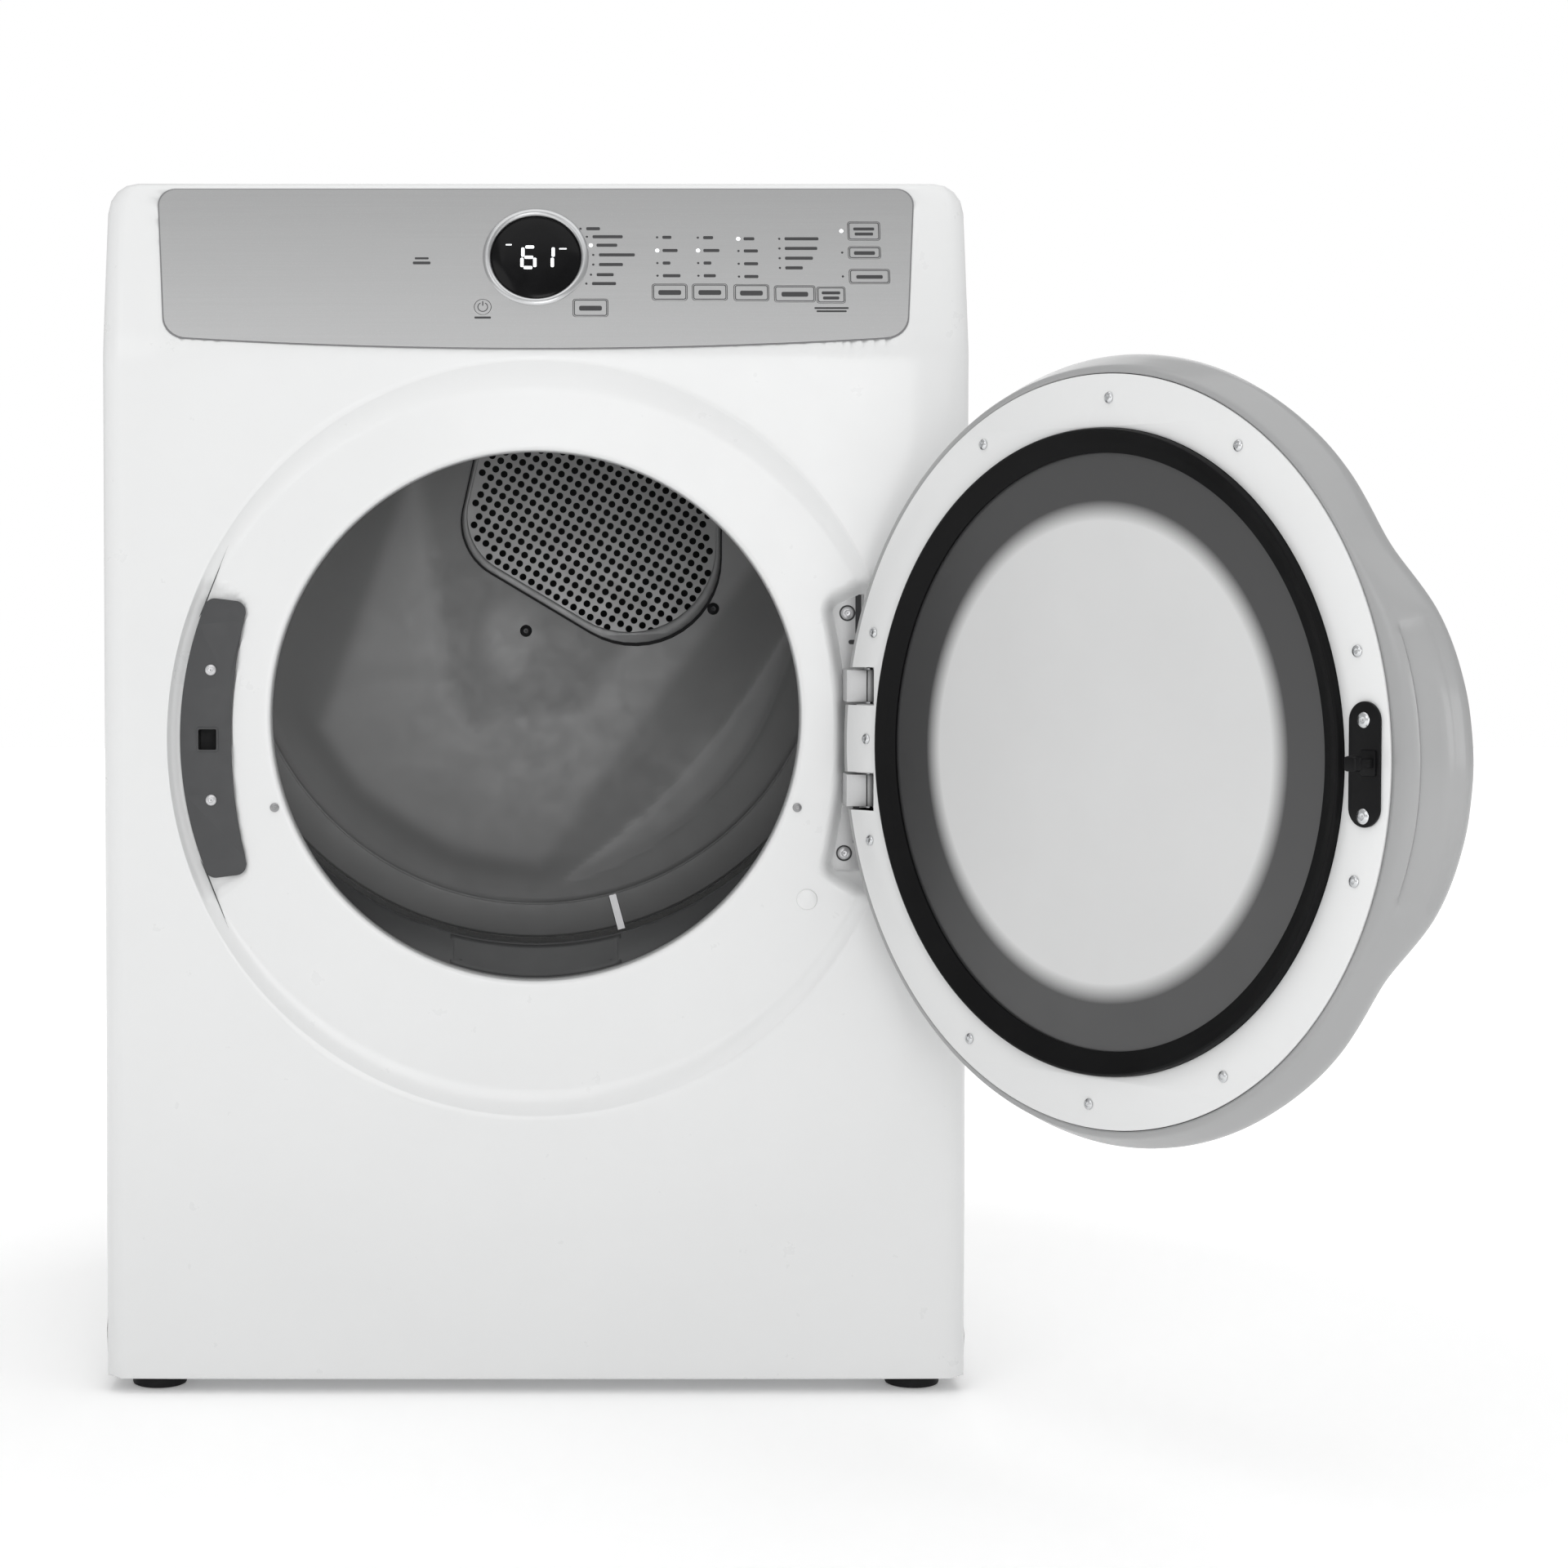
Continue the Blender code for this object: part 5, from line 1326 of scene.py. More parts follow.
def rear_wall():
    """The embossed rear bulkhead, the felt round it, the roller shafts and the wall's screws."""
    count = 384
    angles = np.arange(count) * 2 * math.pi / count
    half, low, high = HALF - 0.005, 0.200, 0.945
    boss = DRUM_R - 0.0055
    bm = bmesh.new()
    made = []
    centre = bm.verts.new((0, REAR_WALL - float(wall_relief(0.0, DRUM_Z)), DRUM_Z))
    radii = list(np.linspace(0.006, 0.270, 62)) + [0.2745, 0.2785, 0.2815]
    for radius in radii:
        x, z = radius * np.cos(angles), DRUM_Z + radius * np.sin(angles)
        fade = 1 - smooth_step(np.full_like(x, radius), 0.236, 0.268)
        y = REAR_WALL - wall_relief(x, z) * fade
        made.append([bm.verts.new(point) for point in zip(x, y, z)])
    groove = [(0.2824, 0.0005), (0.2832, 0.0013), (0.2842, 0.0013), (0.2850, 0.0004)]
    groove += [(0.2870, 0.0002), (0.3080, 0.0002), (boss - 0.002, 0.0010), (boss, 0.0030)]
    steps = [(radius, REAR_WALL + deep) for radius, deep in groove]
    steps += [(boss, REAR_PLATE - 0.0030), (boss + 0.0025, REAR_PLATE - 0.0004)]
    for radius, y in steps + [(boss + 0.0060, REAR_PLATE)]:
        made.append([bm.verts.new(point) for point in ring_row(angles, radius, DRUM_Z, y)])
    for inset, y in ((0.0012, REAR_PLATE), (0.0, REAR_PLATE + 0.001), (0.0, REAR_PLATE + 0.013)):
        row = rectangle_row(angles, DRUM_Z, half - inset, low + inset, high - inset, y)
        made.append([bm.verts.new(point) for point in row])
    for i in range(count):
        bm.faces.new((centre, made[0][i], made[0][(i + 1) % count]))
    for a, b in zip(made, made[1:]):
        for i in range(count):
            j = (i + 1) % count
            bm.faces.new((a[i], b[i], b[j], a[j]))
    wall = piece("rear_wall_skin", bm, "wall", slot="drum_grey", stands_for=["rear_bulkhead"])
    turn_sheet(wall, 1, -1)
    # the tone attribute holds painted shade and highlights for the wall's colour
    tone = wall.data.attributes.new("tone", "FLOAT", "POINT")
    places = np.array([vertex.co for vertex in wall.data.vertices])
    tone.data.foreach_set("value", wall_painted_shade(places[:, 0], places[:, 2]).astype(np.float32))
    grow(wall, SHEET)
    cut(wall, plate([grille_outline(0.0045)], 0.06, facing(REAR_WALL - 0.030)))
    ring = [(boss + 0.0002, 0.5900), (boss + 0.0049, 0.5900), (boss + 0.0052, 0.5906)]
    ring += [(boss + 0.0052, 0.6060), (boss + 0.0002, 0.6060)]
    piece("rear_felt_ring", lathe(ring, (0, 0, DRUM_Z), 192), "rear_felt")
    reach = DRUM_R + 0.0019 + 0.038
    for side, name in ((-1, "left"), (1, "right")):
        x = side * reach * math.sin(math.radians(28))
        z = DRUM_Z - reach * math.cos(math.radians(28))
        rod = [(0.0, 0.5640), (0.0052, 0.5640), (0.0060, 0.5650), (0.0060, REAR_PLATE + 0.0005)]
        shaft = lathe(rod + [(0.0, REAR_PLATE + 0.0005)], (x, 0, z), 32, closed=False)
        ring = [(0.0062, 0.5682), (0.0100, 0.5682), (0.0100, 0.5692), (0.0062, 0.5692)]
        clip = lathe(ring, (x, 0, z), 24)
        piece(f"roller_shaft_{name}", joined([shaft, clip]), "screw")
    places = []
    for x, z in ((-0.0095, 0.6076), (0.172, 0.629), (-0.170, 0.760), (0.120, 0.850)):
        y = REAR_WALL - float(wall_relief(np.array(x), np.array(z))) - 0.0001
        places.append((x, y, z))
    screws("rear_wall_screws", places, 0.0058, 0.0030, "dark_screw")


GRILLE_TILT = math.radians(30.8)


def grille_outline(inset=0.0):
    """A slanted floor, an upright right side and a left side that leans."""
    fall = math.tan(GRILLE_TILT)
    left, right = -0.079 + inset, 0.179 - inset
    floor_left = 0.6857 + inset * 1.16
    floor_right = floor_left - (right - left) * fall
    height = 0.205 - 2.3 * inset
    corners = [
        (left, floor_left),
        (right, floor_right),
        (right, floor_right + height),
        (left + 0.046, floor_left + height),
    ]
    return rounded(corners, [0.058, 0.084, 0.050, 0.056], 16)


def inside_outline(x, z, outline, margin):
    """Whether a point lies inside a convex outline by at least a margin."""
    for (ax, az), (bx, bz) in zip(outline, outline[1:] + outline[:1]):
        length = math.hypot(bx - ax, bz - az)
        if length < 1e-6:
            continue
        if ((bx - ax) * (z - az) - (bz - az) * (x - ax)) / length < margin:
            return False
    return True


def grille():
    """The perforated inlet plate, its rows of holes along the slanted edge."""
    outline = grille_outline(0.0005)
    turn, pitch, holes = -GRILLE_TILT, 0.0095, []
    for i in range(-24, 25):
        for j in range(-24, 25):
            a, b = pitch * i, pitch * j
            x = 0.051 + a * math.cos(turn) - b * math.sin(turn)
            z = 0.7105 + a * math.sin(turn) + b * math.cos(turn)
            if inside_outline(x, z, outline, 0.0088):
                holes.append(circle(x, z, 0.0034, 12))
    front = REAR_WALL - PLATEAU_RISE - 0.0014
    sheet = plate([outline] + holes, 0.0012, facing(front))
    rim_out, rim_in = grille_outline(0.0), grille_outline(0.0045)
    rim = plate([rim_out, rim_in], 0.0024, facing(front - 0.0010), 0.0007)
    whole = joined([sheet, marked(rim, 1)])
    piece("inlet_plate", whole, ["grille", "grille_rim"], "cabinet", "drum_grey", ["inlet_grille"])
    rims = [grille_outline(-0.0013), grille_outline(0.0002)]
    shade = plate(rims, 0.0005, facing(front + 0.0006))
    piece("inlet_rim_shadow", shade, "gap_dark")


def lint_screen():
    """The filter's frame, with a fine mesh on both faces and a pull at its top."""
    x, low, high = 0.065, 0.215, 0.344
    frame_parts = [
        block((-x, 0.0430, low), (-x + 0.006, 0.0570, high), 0.0012),
        block((x - 0.006, 0.0430, low), (x, 0.0570, high), 0.0012),
        block((-x, 0.0430, low), (x, 0.0570, low + 0.007), 0.0012),
        block((-x, 0.0430, high - 0.018), (x, 0.0570, high - 0.012), 0.0018),
    ]
    for share in (-1 / 3, 1 / 3):
        centre = share * (x - 0.004)
        frame_parts.append(
            block((centre - 0.0012, 0.0445, low + 0.004), (centre + 0.0012, 0.0555, high - 0.010))
        )
    grid = []
    for y in (0.0452, 0.0540):
        grid.append(block((-x + 0.004, y, low + 0.005), (x - 0.004, y + 0.0007, high - 0.010)))
    for i in range(27):
        z = low + 0.010 + i * 0.0040
        grid.append(block((-x + 0.005, 0.0447, z), (x - 0.005, 0.0451, z + 0.0005)))
    whole = joined([joined(frame_parts), marked(joined(grid), 1)])
    piece("lint_screen", whole, ["dark", "lint"], "lint_filter", "dark_plastic", ["lint_filter"])
    mouth = OPENING_R + 0.0018

    def on_funnel(a, b):
        share = (b - 0.0384) / 0.0236
        radius = mouth + (LIP_R - mouth) * share
        centre = OPENING_Z + (DRUM_Z - OPENING_Z) * share
        return (a, b, centre + 0.0005 - math.sqrt(radius**2 - a * a))

    across, deep = list(np.linspace(-0.0690, 0.0690, 27)), list(np.linspace(0.0396, 0.0606, 9))
    cap = sheet_grid(across, deep, on_funnel)
    lid = piece("lint_screen_cap", cap, "funnel", "lint_filter")
    turn_sheet(lid, 2, 1)
    grow(lid, 0.0004, 1.0)


# ---------------------------------------------------------------- latch and hinge side
def latch():
    """The grey plate at the left with its slot, the catch, and the ring's screws and plug."""
    outer = arc((0.006, 0.523), 0.2875, 157.2, 202.8, 41)
    inner = arc((0.185, 0.523), 0.4260, 194.6, 165.4, 31)
    outline = rounded(outer + inner, 0.0085, 8)
    hole = rectangle(-0.2599, LATCH_Z, 0.0140, 0.0160, 0.0010, 4)
    bm = plate([outline, hole], 0.0018, facing(0.0036), 0.0005)
    lip_out = rectangle(-0.2599, LATCH_Z, 0.0172, 0.0192, 0.0022, 5)
    lip_in = rectangle(-0.2599, LATCH_Z, 0.0143, 0.0163, 0.0011, 5)
    lip = plate([lip_out, lip_in], 0.0010, facing(0.0030), 0.0003)
    piece("latch_cover", joined([bm, lip]), "latch", slot="latch_grey", stands_for=["latch_plate"])
    # a dark block in the latch's slot: painted shade in the hole
    pit = block((-0.2672, 0.0262, LATCH_Z - 0.0094), (-0.2513, 0.0272, LATCH_Z + 0.0094))
    piece("latch_pit", pit, "gap_dark")
    places = [(-0.257, 0.0036, z) for z in (0.577, 0.474)]
    screws("latch_screws", places, 0.0043, 0.0021, "latch_screw")
    tongue = block((-0.2496, 0.0085, LATCH_Z - 0.008), (-0.2440, 0.0170, LATCH_Z + 0.008), 0.0012)
    piece("latch_tongue", tongue, "dark", "latch_catch", "dark_plastic", ["latch_catch"])
    places = [(side * 0.207, RING_Y - 0.0002, 0.468) for side in (-1, 1)]
    screws("ring_screws", places, 0.0036, 0.0016, "white_screw")
    plug = [(0.0, -0.0016), (0.0060, -0.0015), (0.0078, -0.0010), (0.0084, 0.0), (0.0084, 0.001)]
    piece("ring_plug", lathe(plug, (0.215, RING_Y, 0.395), 40, closed=False), "door_white")


ARM_NEAR, ARM_FAR = 0.0283, 0.0535
ARMS = ((HINGE_Z - ARM_FAR, HINGE_Z - ARM_NEAR), (HINGE_Z + ARM_NEAR, HINGE_Z + ARM_FAR))
KNUCKLE_R = 0.0058


def knuckle(outline, low, high, edge):
    """A hinge plate lying level from low to high, with the pin's bore in it."""
    bore = circle(HINGE_X, HINGE_Y, 0.0034, 28)
    return plate([outline, bore], high - low, Matrix.Translation((0, 0, high)), edge)


def hinge():
    """The base with its two arms, the pin, its screws and painted shadow lines, and the door's
    leaf.
    """
    plate_out = [(0.2345, 0.417), (0.2600, 0.417), (0.2610, 0.470), (0.2610, 0.588)]
    plate_out += [(0.2600, 0.641), (0.2345, 0.641)]
    base = plate([rounded(plate_out, 0.0045, 5)], 0.0018, facing(0.0182), 0.0004)
    arms = []
    for low, high in ARMS:
        outline = [(0.2575, 0.0188), (0.2435, 0.0188), (0.2435, HINGE_Y - KNUCKLE_R + 0.002)]
        outline += arc((HINGE_X, HINGE_Y), KNUCKLE_R, -90, 90, 14)
        arms.append(knuckle(outline + [(0.2575, HINGE_Y + KNUCKLE_R)], low, high, 0.0005))
    mount = joined([base] + arms)
    piece("hinge_mount", mount, "hinge_grey", slot="galvanised", stands_for=["hinge_bracket"])
    rod = [(0.0, -0.0554), (0.0020, -0.0554), (0.0029, -0.0546), (0.0029, 0.0546)]
    rod += [(0.0020, 0.0554), (0.0, 0.0554)]
    pin = lathe(rod, (HINGE_X, HINGE_Y, HINGE_Z), 32, "Z", closed=False)
    piece("hinge_rod", pin, "screw", slot="chrome_trim", stands_for=["hinge_pin"])
    spots = ((0.2475, 0.622), (0.2455, 0.431))
    screws("hinge_screws", [(x, 0.0180, z) for x, z in spots], 0.0048, 0.0026, "latch_screw")
    # dark rings round the screws and dark bars beside them: painted shadow
    marks = [[circle(x, z, 0.0064, 28), circle(x, z, 0.0051, 28)] for x, z in spots]
    for x, z, width, height in (
        (0.2562, 0.6215, 0.0046, 0.0330),
        (0.2525, 0.5990, 0.0080, 0.0036),
        (0.2550, 0.4560, 0.0050, 0.0350),
        (0.2525, 0.4760, 0.0080, 0.0036),
    ):
        marks.append([rectangle(x, z, width, height, 0.0016)])
    shades = [plate(outlines, 0.0003, facing(0.0181)) for outlines in marks]
    near = HINGE_Y - 0.0059
    for middle in (HINGE_Z - 0.0409, HINGE_Z + 0.0409):
        low, high = middle - 0.0122, middle + 0.0122
        shades.append(block((0.2585, near, low), (0.2594, near + 0.0006, high)))
    piece("hinge_shadow_lines", joined(shades), "gap_dark")
    low, high = HINGE_Z - ARM_NEAR + 0.0014, HINGE_Z + ARM_NEAR - 0.0014
    flat = PANEL_Y - 0.0028
    outline = [(0.2328, flat), (0.2328, flat - 0.003), (HINGE_X - KNUCKLE_R, flat - 0.003)]
    outline += arc((HINGE_X, HINGE_Y), KNUCKLE_R, 180, 450, 26)
    leaf = knuckle(outline + [(HINGE_X, flat)], low, high, 0.0004)
    piece("hinge_leaf", leaf, "hinge_grey", "door", "galvanised", ["door_hinge_leaf"])


# ---------------------------------------------------------------- door, modelled closed
# (degrees from the grip's middle, how far the rim stands out there)
GRIP = [(0, 0.0262), (8, 0.0242), (14, 0.0202), (18, 0.0164), (21, 0.0125), (23.5, 0.0080)]
GRIP += [(28, 0.0008), (31, -0.0026), (34, -0.0034), (38, -0.0024), (43, -0.0006)]
GRIP += [(48, 0.0), (180, 0.0)]


def grip(degrees):
    """How far the rim stands out past its circle, at an angle from the grip's middle."""
    steps = (-1.6, -0.8, 0, 0.8, 1.6)
    turns, reaches = zip(*GRIP)
    near = [np.interp(np.abs(np.abs(degrees) + step), turns, reaches) for step in steps]
    return sum(near) / len(steps)


def shell_rows():
    """Loops of the door's outer skin, from its back edge over the rim to the window."""
    # (radius, depth, share of the grip that the loop takes)
    profile = [
        (0.2704, -0.0052, 0.00),
        (0.2722, -0.0050, 0.06),
        (0.2746, -0.0058, 0.20),
        (0.2762, -0.0078, 0.34),
        (0.2776, -0.0110, 0.42),
        (0.2783, -0.0124, 0.50),
        (0.2788, -0.0134, 0.55),
        (0.2800, -0.0160, 0.66),
        (0.2814, -0.0190, 0.78),
        (0.2826, -0.0215, 0.90),
        (0.2838, -0.0247, 0.96),
        (0.2843, -0.0262, 0.98),
        (0.2846, -0.0280, 1.00),
        (0.2848, -0.0315, 1.04),
        (0.2834, -0.0360, 1.05),
        (0.2807, -0.0405, 1.02),
        (0.2768, -0.0452, 0.96),
        (0.2718, -0.0500, 0.82),
        (0.2655, -0.0547, 0.64),
        (0.2570, -0.0598, 0.44),
        (0.2470, -0.0637, 0.27),
        (0.2370, -0.0663, 0.14),
        (0.2270, -0.0682, 0.05),
        (0.2150, -0.0697, 0.01),
        (0.2040, -0.0707, 0.0),
        (0.1985, -0.0711, 0.0),
        (0.1960, -0.0710, 0.0),
        (0.1942, -0.0702, 0.0),
        (0.1936, -0.0688, 0.0),
        (0.1935, -0.0640, 0.0),
    ]
    angles = np.radians(np.arange(360))
    away = np.degrees(np.abs(np.angle(np.exp(1j * (angles - math.pi)))))
    rows = []
    for radius, y, share in profile:
        facet = 0.0030 if -0.0265 < y < -0.0120 else 0.0
        reach = radius + share * grip(away) - facet * smooth_step(away, 19.4, 18.2)
        x, z = reach * np.cos(angles), DOOR_Z + reach * np.sin(angles)
        rows.append(np.stack([x, y + 0 * angles, z], axis=1))
    return rows


def cut_for_arms(obj, **settings):
    """Slots in a piece of the door, where it passes the hinge's arms."""
    for low, high in ARMS:
        slot = block((0.2375, -0.0525, low - 0.0022), (0.32, 0.02, high + 0.0022))
        cut(obj, slot, **settings)


def door():
    """The door's shell, inner panel, screws, gasket, two glasses and strike."""
    skin, white = loft(shell_rows()), "door_white"
    shell = piece(
        "door_shell_skin", skin, "shell_white", "door", white, ["door_shell"], sharp=50
    )
    turn_sheet(shell, 1, -1)
    # the shell's inner face and cut edges take the near-black: painted shade inside the door
    shell.data.materials.append(look["gap_dark"])
    grow(shell, 0.0021).modifiers["Sheet"].material_offset = 1
    cut_for_arms(shell, crossing=True)
    ring, hole = circle(0, DOOR_Z, 0.2699, 256), circle(0, DOOR_Z, 0.2317, 200)
    panel = plate([ring, hole], 0.0026, facing(PANEL_Y - 0.0026), 0.0006)
    low, high = HINGE_Z - 0.0262, HINGE_Z + 0.0262
    corners = [(0.2600, low), (0.2700, low), (0.2700, high), (0.2600, high)]
    outline = rounded(corners, [0, 0.003, 0.003, 0], 6)
    tab = plate([outline], 0.0025, facing(PANEL_Y - 0.00265), 0.0005)
    whole = joined([panel, tab])
    trim = piece("door_panel_ring", whole, "door_white", "door", white, ["door_inner_panel"])
    cut_for_arms(trim)
    places = []
    for degrees in (93.2, 62.9, 122.7, 19.8, 163.0, -17.4, -162.2, -59.8, -120.2, -89.6):
        turn = math.radians(degrees)
        x, z = 0.2529 * math.cos(turn), DOOR_Z + 0.2529 * math.sin(turn)
        places.append((x, PANEL_Y + 0.0003, z))
    places.append((0.2463, PANEL_Y + 0.0003, 0.524))
    screws("door_screws", places, 0.0040, 0.0017, "screw", "door", facing_back)
    seal = [(0.2139, -0.0066), (0.2139, -0.0052), (0.2168, -0.0040), (0.2205, -0.0026)]
    seal += [(0.2240, -0.0010), (0.2272, 0.0008), (0.2292, 0.0017), (0.2306, 0.0012)]
    gasket = lathe(seal + [(0.2315, -0.0003), (0.2315, -0.0066)], (0, 0, DOOR_Z), 224)
    piece("door_gasket", gasket, "seal", "door", "rubber_black", ["door_seal"])
    flat = [(0.0, -0.0074), (0.226, -0.0074), (0.2302, -0.0076), (0.2307, -0.0082)]
    flat += [(0.2307, -0.0104), (0.2302, -0.0110), (0.0, -0.0110)]
    domed = [(0.0, -0.0726), (0.100, -0.0721), (0.170, -0.0712), (0.1915, -0.0706)]
    domed += [(0.1930, -0.0698), (0.1930, -0.0668), (0.0, -0.0668)]
    for side, profile in (("inner", flat), ("outer", domed)):
        name, node = f"{side}_glass", f"door_window_{side}"
        pane = lathe(profile, (0, 0, DOOR_Z), 192, closed=False)
        piece(name, pane, name, "door", "door_glass", [node])
    strike()


def strike():
    """The black keeper with its hooked knob and two screws."""
    x = -0.25035
    stadium = arc((x, DOOR_Z + 0.0285), 0.0128, 0, 180, 24)
    stadium += arc((x, DOOR_Z - 0.0285), 0.0128, 180, 360, 24)
    keeper = plate([stadium], 0.0030, facing(PANEL_Y + 0.0003), 0.0007)
    back = PANEL_Y + 0.001
    stem = block((-0.2600, back, LATCH_Z - 0.003), (-0.2540, 0.0180, LATCH_Z + 0.003), 0.0006)
    knob = block((-0.2605, 0.0118, LATCH_Z - 0.005), (-0.2505, 0.0190, LATCH_Z + 0.005), 0.0018, 3)
    boss = block((-0.2612, -0.001, LATCH_Z - 0.0085), (-0.2488, 0.0012, LATCH_Z + 0.0085), 0.0010)
    body = joined([keeper, stem, knob, boss])
    piece("strike_keeper", body, "black", "door", "dark_plastic", ["strike_plate"])
    places = [(x, -0.0009, z) for z in (0.550, 0.487)]
    screws("strike_screws", places, 0.0052, 0.0020, "screw", "door", facing_back)


# ---------------------------------------------------------------- feet, back and works
EXHAUST = (0.090, 0, 0.104)


def feet():
    """Four rubber pads on threaded stems with nuts."""
    for side, across in (("left", -0.304), ("right", 0.304)):
        for end, y in (("front", 0.045), ("rear", 0.650)):
            pad = [(0.0, 0.0), (0.0195, 0.0), (0.0212, 0.0008), (0.0218, 0.0024), (0.0218, 0.0078)]
            pad += [(0.0206, 0.0096), (0.0180, 0.0104), (0.0, 0.0104)]
            foot = lathe(pad, (across, y, 0), 64, "Z", closed=False)
            stem = [(0.0, 0.0100)]
            for turn in range(24):
                z = 0.0104 + turn * 0.0015
                stem += [(0.0070, z), (0.0062, z + 0.00075)]
            stem += [(0.0068, 0.0470), (0.0058, 0.0479), (0.0, 0.0479)]
            rod = marked(lathe(stem, (across, y, 0), 28, "Z", closed=False), 1)
            nut = [(0.0125, 0.0106), (0.0130, 0.0112), (0.0130, 0.0134), (0.0125, 0.0140)]
            nut = [(0.0, 0.0106)] + nut + [(0.0, 0.0140)]
            hexagon = marked(lathe(nut, (across, y, 0), 6, "Z", closed=False), 1)
            name, whole = f"foot_{end}_{side}", joined([foot, rod, hexagon])
            piece(name + "_skin", whole, ["rubber", "screw"], name, "rubber_black", [name])


def rear():
    """The back panel with its ribs, louvres and screws, the exhaust and the terminal cover."""
    edge, flat = 0.3410, 0.200
    across = ticks((-edge, -0.336, 3), (-0.336, -flat, 8), (-flat, flat, 80), (flat, edge, 10))
    up = ticks((0.0148, 0.150, 8), (0.150, 0.730, 116), (0.730, 0.9498, 14))

    def bulge(x, z):
        lift = 0.0
        for centre in (0.245, 0.345, 0.445, 0.545, 0.645):
            away = max(abs(z - centre) - 0.010, 0) + max(abs(x) - 0.150, 0)
            lift += 0.0030 * (1 - float(smooth_step(np.array(away), 0.0, 0.010)))
        return (x, BACK - 0.0016 + min(lift, 0.0030), z)

    bm = sheet_grid(across, up, bulge)
    back = piece("rear_skin", bm, "enamel_grey", slot="galvanised", stands_for=["rear_panel"])
    turn_sheet(back, 1, 1)
    grow(back, SHEET)
    hole = [(0.0, 0.60), (0.0525, 0.60), (0.0525, 0.75), (0.0, 0.75)]
    cut(back, lathe(hole, EXHAUST, 64, closed=False))
    vents = [louvre(x, 0.330 + row * 0.028) for row in range(5) for x in (-0.262, 0.262)]
    piece("rear_louvres", joined(vents), "enamel_grey")
    spots = [(x, z) for z in (0.030, 0.935) for x in (-0.320, -0.160, 0.0, 0.160, 0.320)]
    spots += [(x, z) for x in (-0.328, 0.328) for z in (0.230, 0.460, 0.700)]
    places = [(x, BACK - 0.0016, z) for x, z in spots]
    screws("rear_screws", places, 0.0046, 0.0020, "screw", facing=facing_back)
    duct = [(0.0497, 0.1502), (0.0510, 0.1502), (0.0510, 0.6300), (0.0522, 0.6330)]
    duct += [(0.0510, 0.6360), (0.0510, 0.7000), (0.0518, 0.7020), (0.0510, 0.7040)]
    collar = lathe(duct + [(0.0508, 0.7118), (0.0498, 0.7118)], EXHAUST, 96)
    zinc = {"slot": "galvanised", "stands_for": ["exhaust_duct"]}
    piece("exhaust_collar", collar, "galvanised", **zinc)
    terminal_box()


def terminal_box():
    """The terminal cover, with ribs, a screw and a bushing for the supply cord."""
    low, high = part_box("terminal_cover")
    low, high = low - SHIFT, high - SHIFT
    cover = block(low, high, 0.0025, 3)
    ribs = []
    for i in range(5):
        foot, top = low.z + 0.018 + i * 0.010, low.z + 0.022 + i * 0.010
        near, far = (low.x + 0.012, high.y - 0.001, foot), (high.x - 0.030, high.y + 0.0008, top)
        ribs.append(block(near, far, 0.0004))
    screw = screw_head(facing_back(high.x - 0.016, high.y, (low.z + high.z) / 2), 0.0046, 0.0022)
    collar = [(0.0, 0.0), (0.0135, 0.0), (0.0135, 0.003), (0.0105, 0.004), (0.0090, 0.004)]
    collar += [(0.0085, 0.001), (0.0, 0.001)]
    centre = ((low.x + high.x) / 2 - 0.012, high.y, high.z - 0.024)
    bushing = lathe(collar, centre, 32, closed=False)
    whole = joined([cover] + ribs + [marked(bushing, 1), marked(screw, 2)])
    looks = ["enamel_grey", "black", "screw"]
    piece("terminal_box", whole, looks, slot="galvanised", stands_for=["terminal_cover"])


def louvre(x, z):
    """A half-round hood with tapering ends."""
    rows = []
    for share in np.linspace(-1, 1, 15):
        ends = math.sqrt(max(0.0, 1 - abs(share) ** 6))
        row = []
        for swing in np.linspace(0, math.pi, 9):
            y = BACK - 0.0012 + 0.0042 * ends * math.sin(swing)
            row.append((x + share * 0.030, y, z + 0.0046 * ends * math.cos(swing)))
        rows.append(row)
    return loft(rows, closed=False)


def works():
    """Finishes and soft edges for the pieces that keep their frame shape."""
    kept = {
        "base_pan": "galvanised",
        "blower_housing": "dark",
        "blower_wheel": "dark",
        "control_board": "board",
        "drive_belt": "rubber",
        "drum_roller_left": "rubber",
        "drum_roller_right": "rubber",
        "heater_box": "heater_dark",
        "idler_arm": "galvanised",
        "idler_bracket": "galvanised",
        "idler_pulley": "dark",
        "lint_duct": "dark",
        "moisture_sensor_bar": "sensor",
        "motor": "motor_grey",
        "motor_bracket": "galvanised",
        "motor_shaft": "steel",
    }
    for name, finish in kept.items():
        node = bpy.data.objects[name]
        node.data.materials.clear()
        node.data.materials.append(look[finish])
        if name not in ("drive_belt", "blower_wheel"):
            bevel = node.modifiers.new("Edges", "BEVEL")
            bevel.width = 0.0004 if name == "moisture_sensor_bar" else 0.0007
            bevel.segments = 2
            bevel.limit_method = "ANGLE"
            bevel.angle_limit = math.radians(30)
            bevel.harden_normals = True
    motor_details()


def motor_details():
    """Cooling fins round the motor, and its winding."""
    x, z, count = -0.075, 0.150, 14
    coil = [(0.040, 0.196), (0.058, 0.198), (0.060, 0.204), (0.058, 0.2085), (0.040, 0.2085)]
    fins = []
    for i in range(count):
        fin = block((-0.0010, 0.212, 0.0700), (0.0010, 0.316, 0.0716))
        turn = Matrix.Rotation(2 * math.pi * i / count, 4, "Y")
        fins.append(placed(fin, Matrix.Translation((x, 0, z)) @ turn))
    piece("motor_fins", joined(fins), "motor_grey")
    piece("motor_winding", lathe(coil, (x, -0.004, z), 64), "copper")


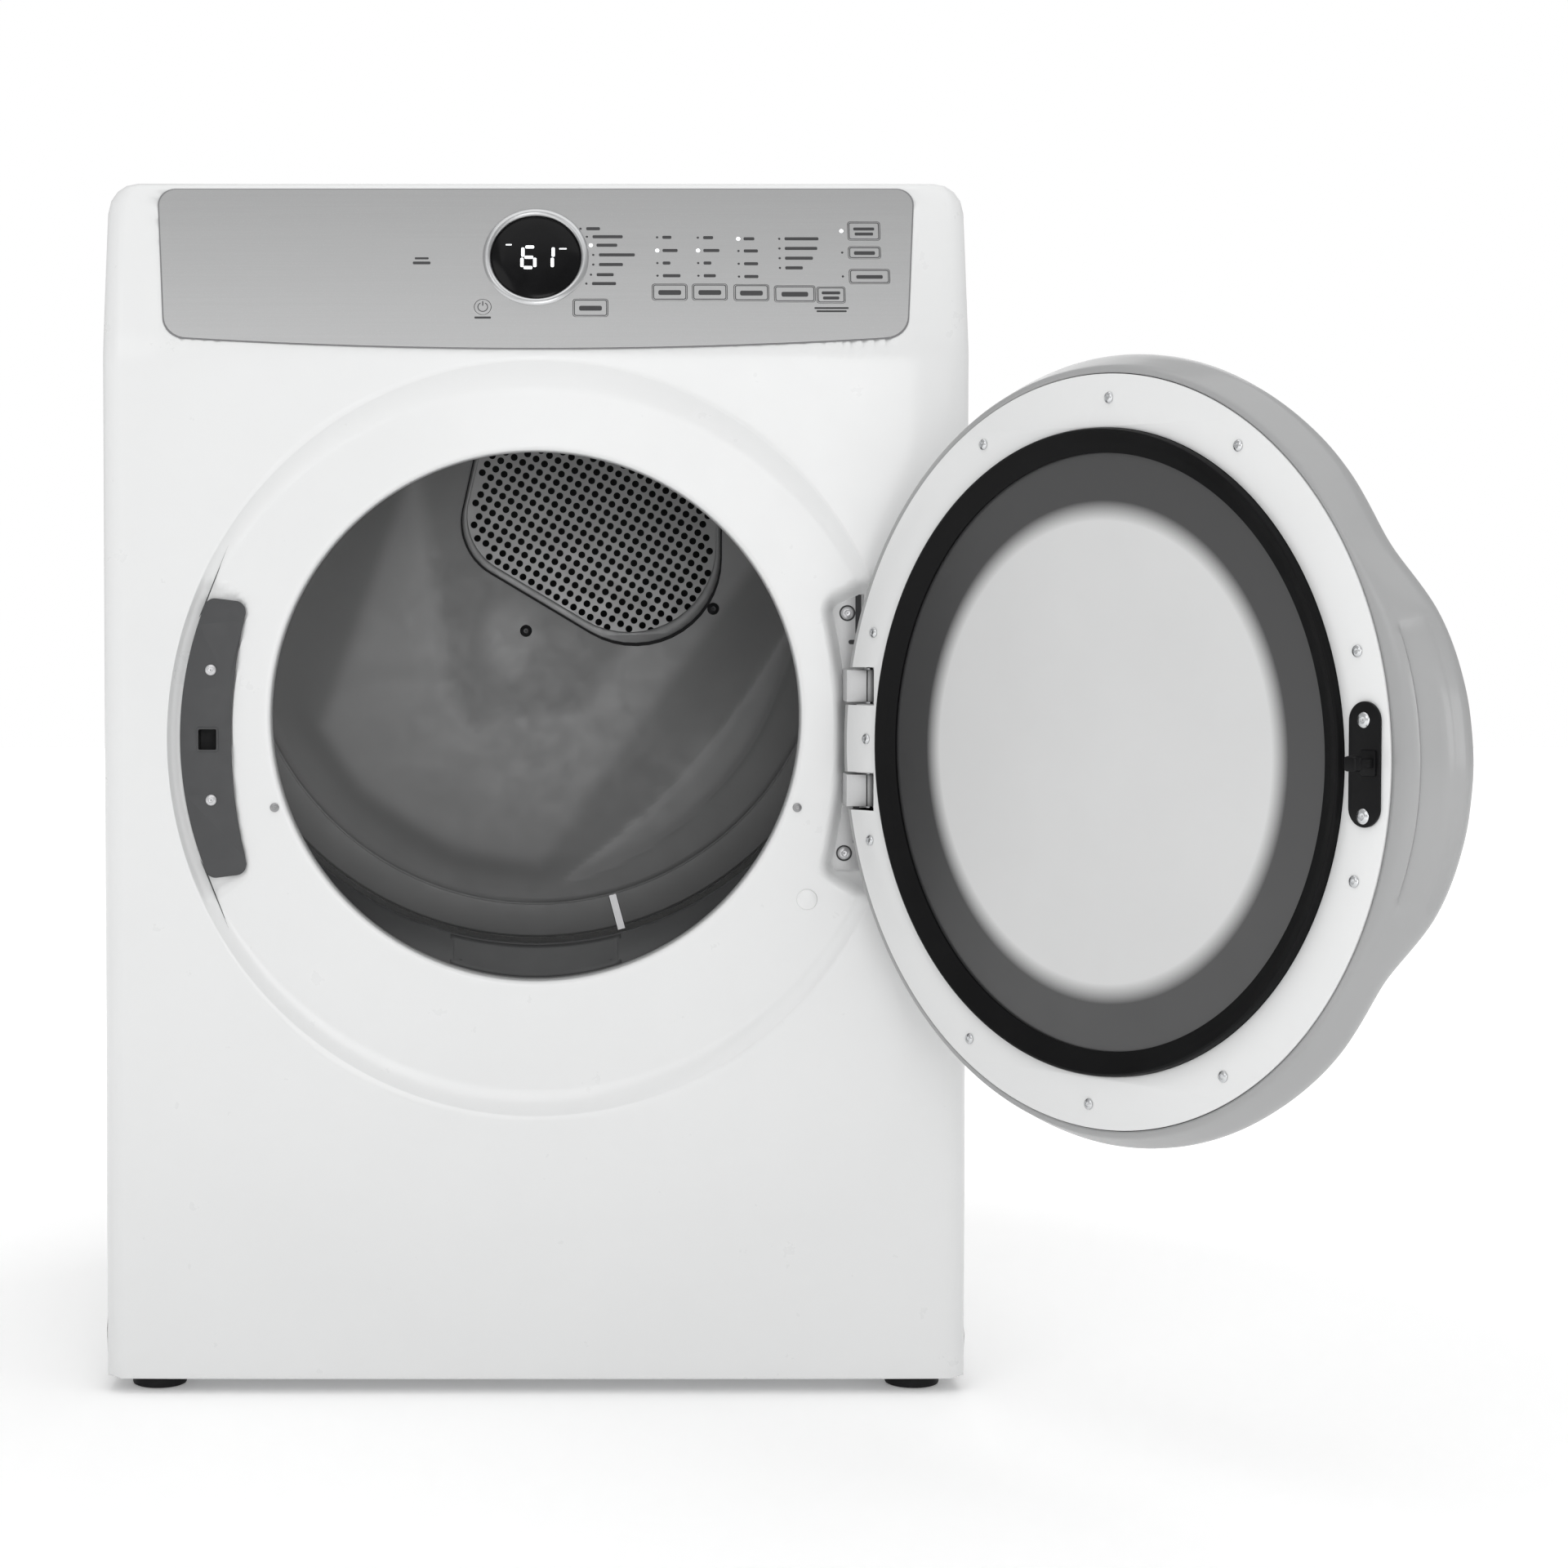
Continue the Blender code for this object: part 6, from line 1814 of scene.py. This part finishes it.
# ---------------------------------------------------------------- stage
def stage():
    """The floor, the lights, the world and the camera of the photo's view."""
    bm = bmesh.new()
    bmesh.ops.create_grid(bm, x_segments=8, y_segments=8, size=14)
    mesh = mesh_of("floor", bm, False)
    mesh.materials.append(look["floor"])
    floor = bpy.data.objects.new("floor", mesh)
    bpy.context.scene.collection.objects.link(floor)
    floor.location = (0, 0, -0.0005)
    softbox("overhead_light", (0.2, -0.6, 4.2), (0, 0, 0), 4.5, 63)
    softbox("key_light", (-1.9, -3.0, 2.4), (0, 0, 0.5), 1.8, 14)
    softbox("front_light", (0.3, -3.4, 1.0), (0, 0, 0.55), 1.2, 15)
    softbox("back_light", (0.5, 3.4, 2.4), (0, 0, 0.5), 2.6, 20)
    world = bpy.data.worlds.new("studio")
    bpy.context.scene.world = world
    world.use_nodes = True
    tree = world.node_tree
    sky = tree.nodes["Background"]
    sky.inputs["Color"].default_value = (1, 1, 1, 1)
    seen = tree.nodes.new("ShaderNodeLightPath").outputs["Is Camera Ray"]
    level = tree.nodes.new("ShaderNodeMapRange")
    level.inputs["To Min"].default_value = 0.55
    level.inputs["To Max"].default_value = 1.0
    tree.links.new(seen, level.inputs["Value"])
    tree.links.new(level.outputs["Result"], sky.inputs["Strength"])
    bpy.context.scene.view_settings.view_transform = "Standard"
    lens = bpy.data.cameras.new("camera")
    lens.lens = 74.95
    lens.sensor_width = 36
    lens.shift_x = 0.1583
    lens.shift_y = -0.026
    lens.clip_end = 50
    camera = bpy.data.objects.new("camera", lens)
    bpy.context.scene.collection.objects.link(camera)
    camera.location = Vector((0, -2.5771, 0.6092)) + SHIFT
    camera.rotation_euler = (math.radians(88), 0, 0)
    bpy.context.scene.camera = camera


def softbox(name, place, target, size, power):
    """A square light, turned to its target."""
    data = bpy.data.lights.new(name, "AREA")
    data.shape = "SQUARE"
    data.size = size
    data.energy = power
    light = bpy.data.objects.new(name, data)
    bpy.context.scene.collection.objects.link(light)
    light.location = Vector(place)
    aim = Vector(target) - Vector(place)
    light.rotation_euler = aim.to_track_quat("-Z", "Y").to_euler()


white_front()
cabinet_shell()
console()
drum()
funnel()
rear_wall()
grille()
lint_screen()
latch()
hinge()
door()
feet()
rear()
works()
stage()

bpy.context.view_layer.update()
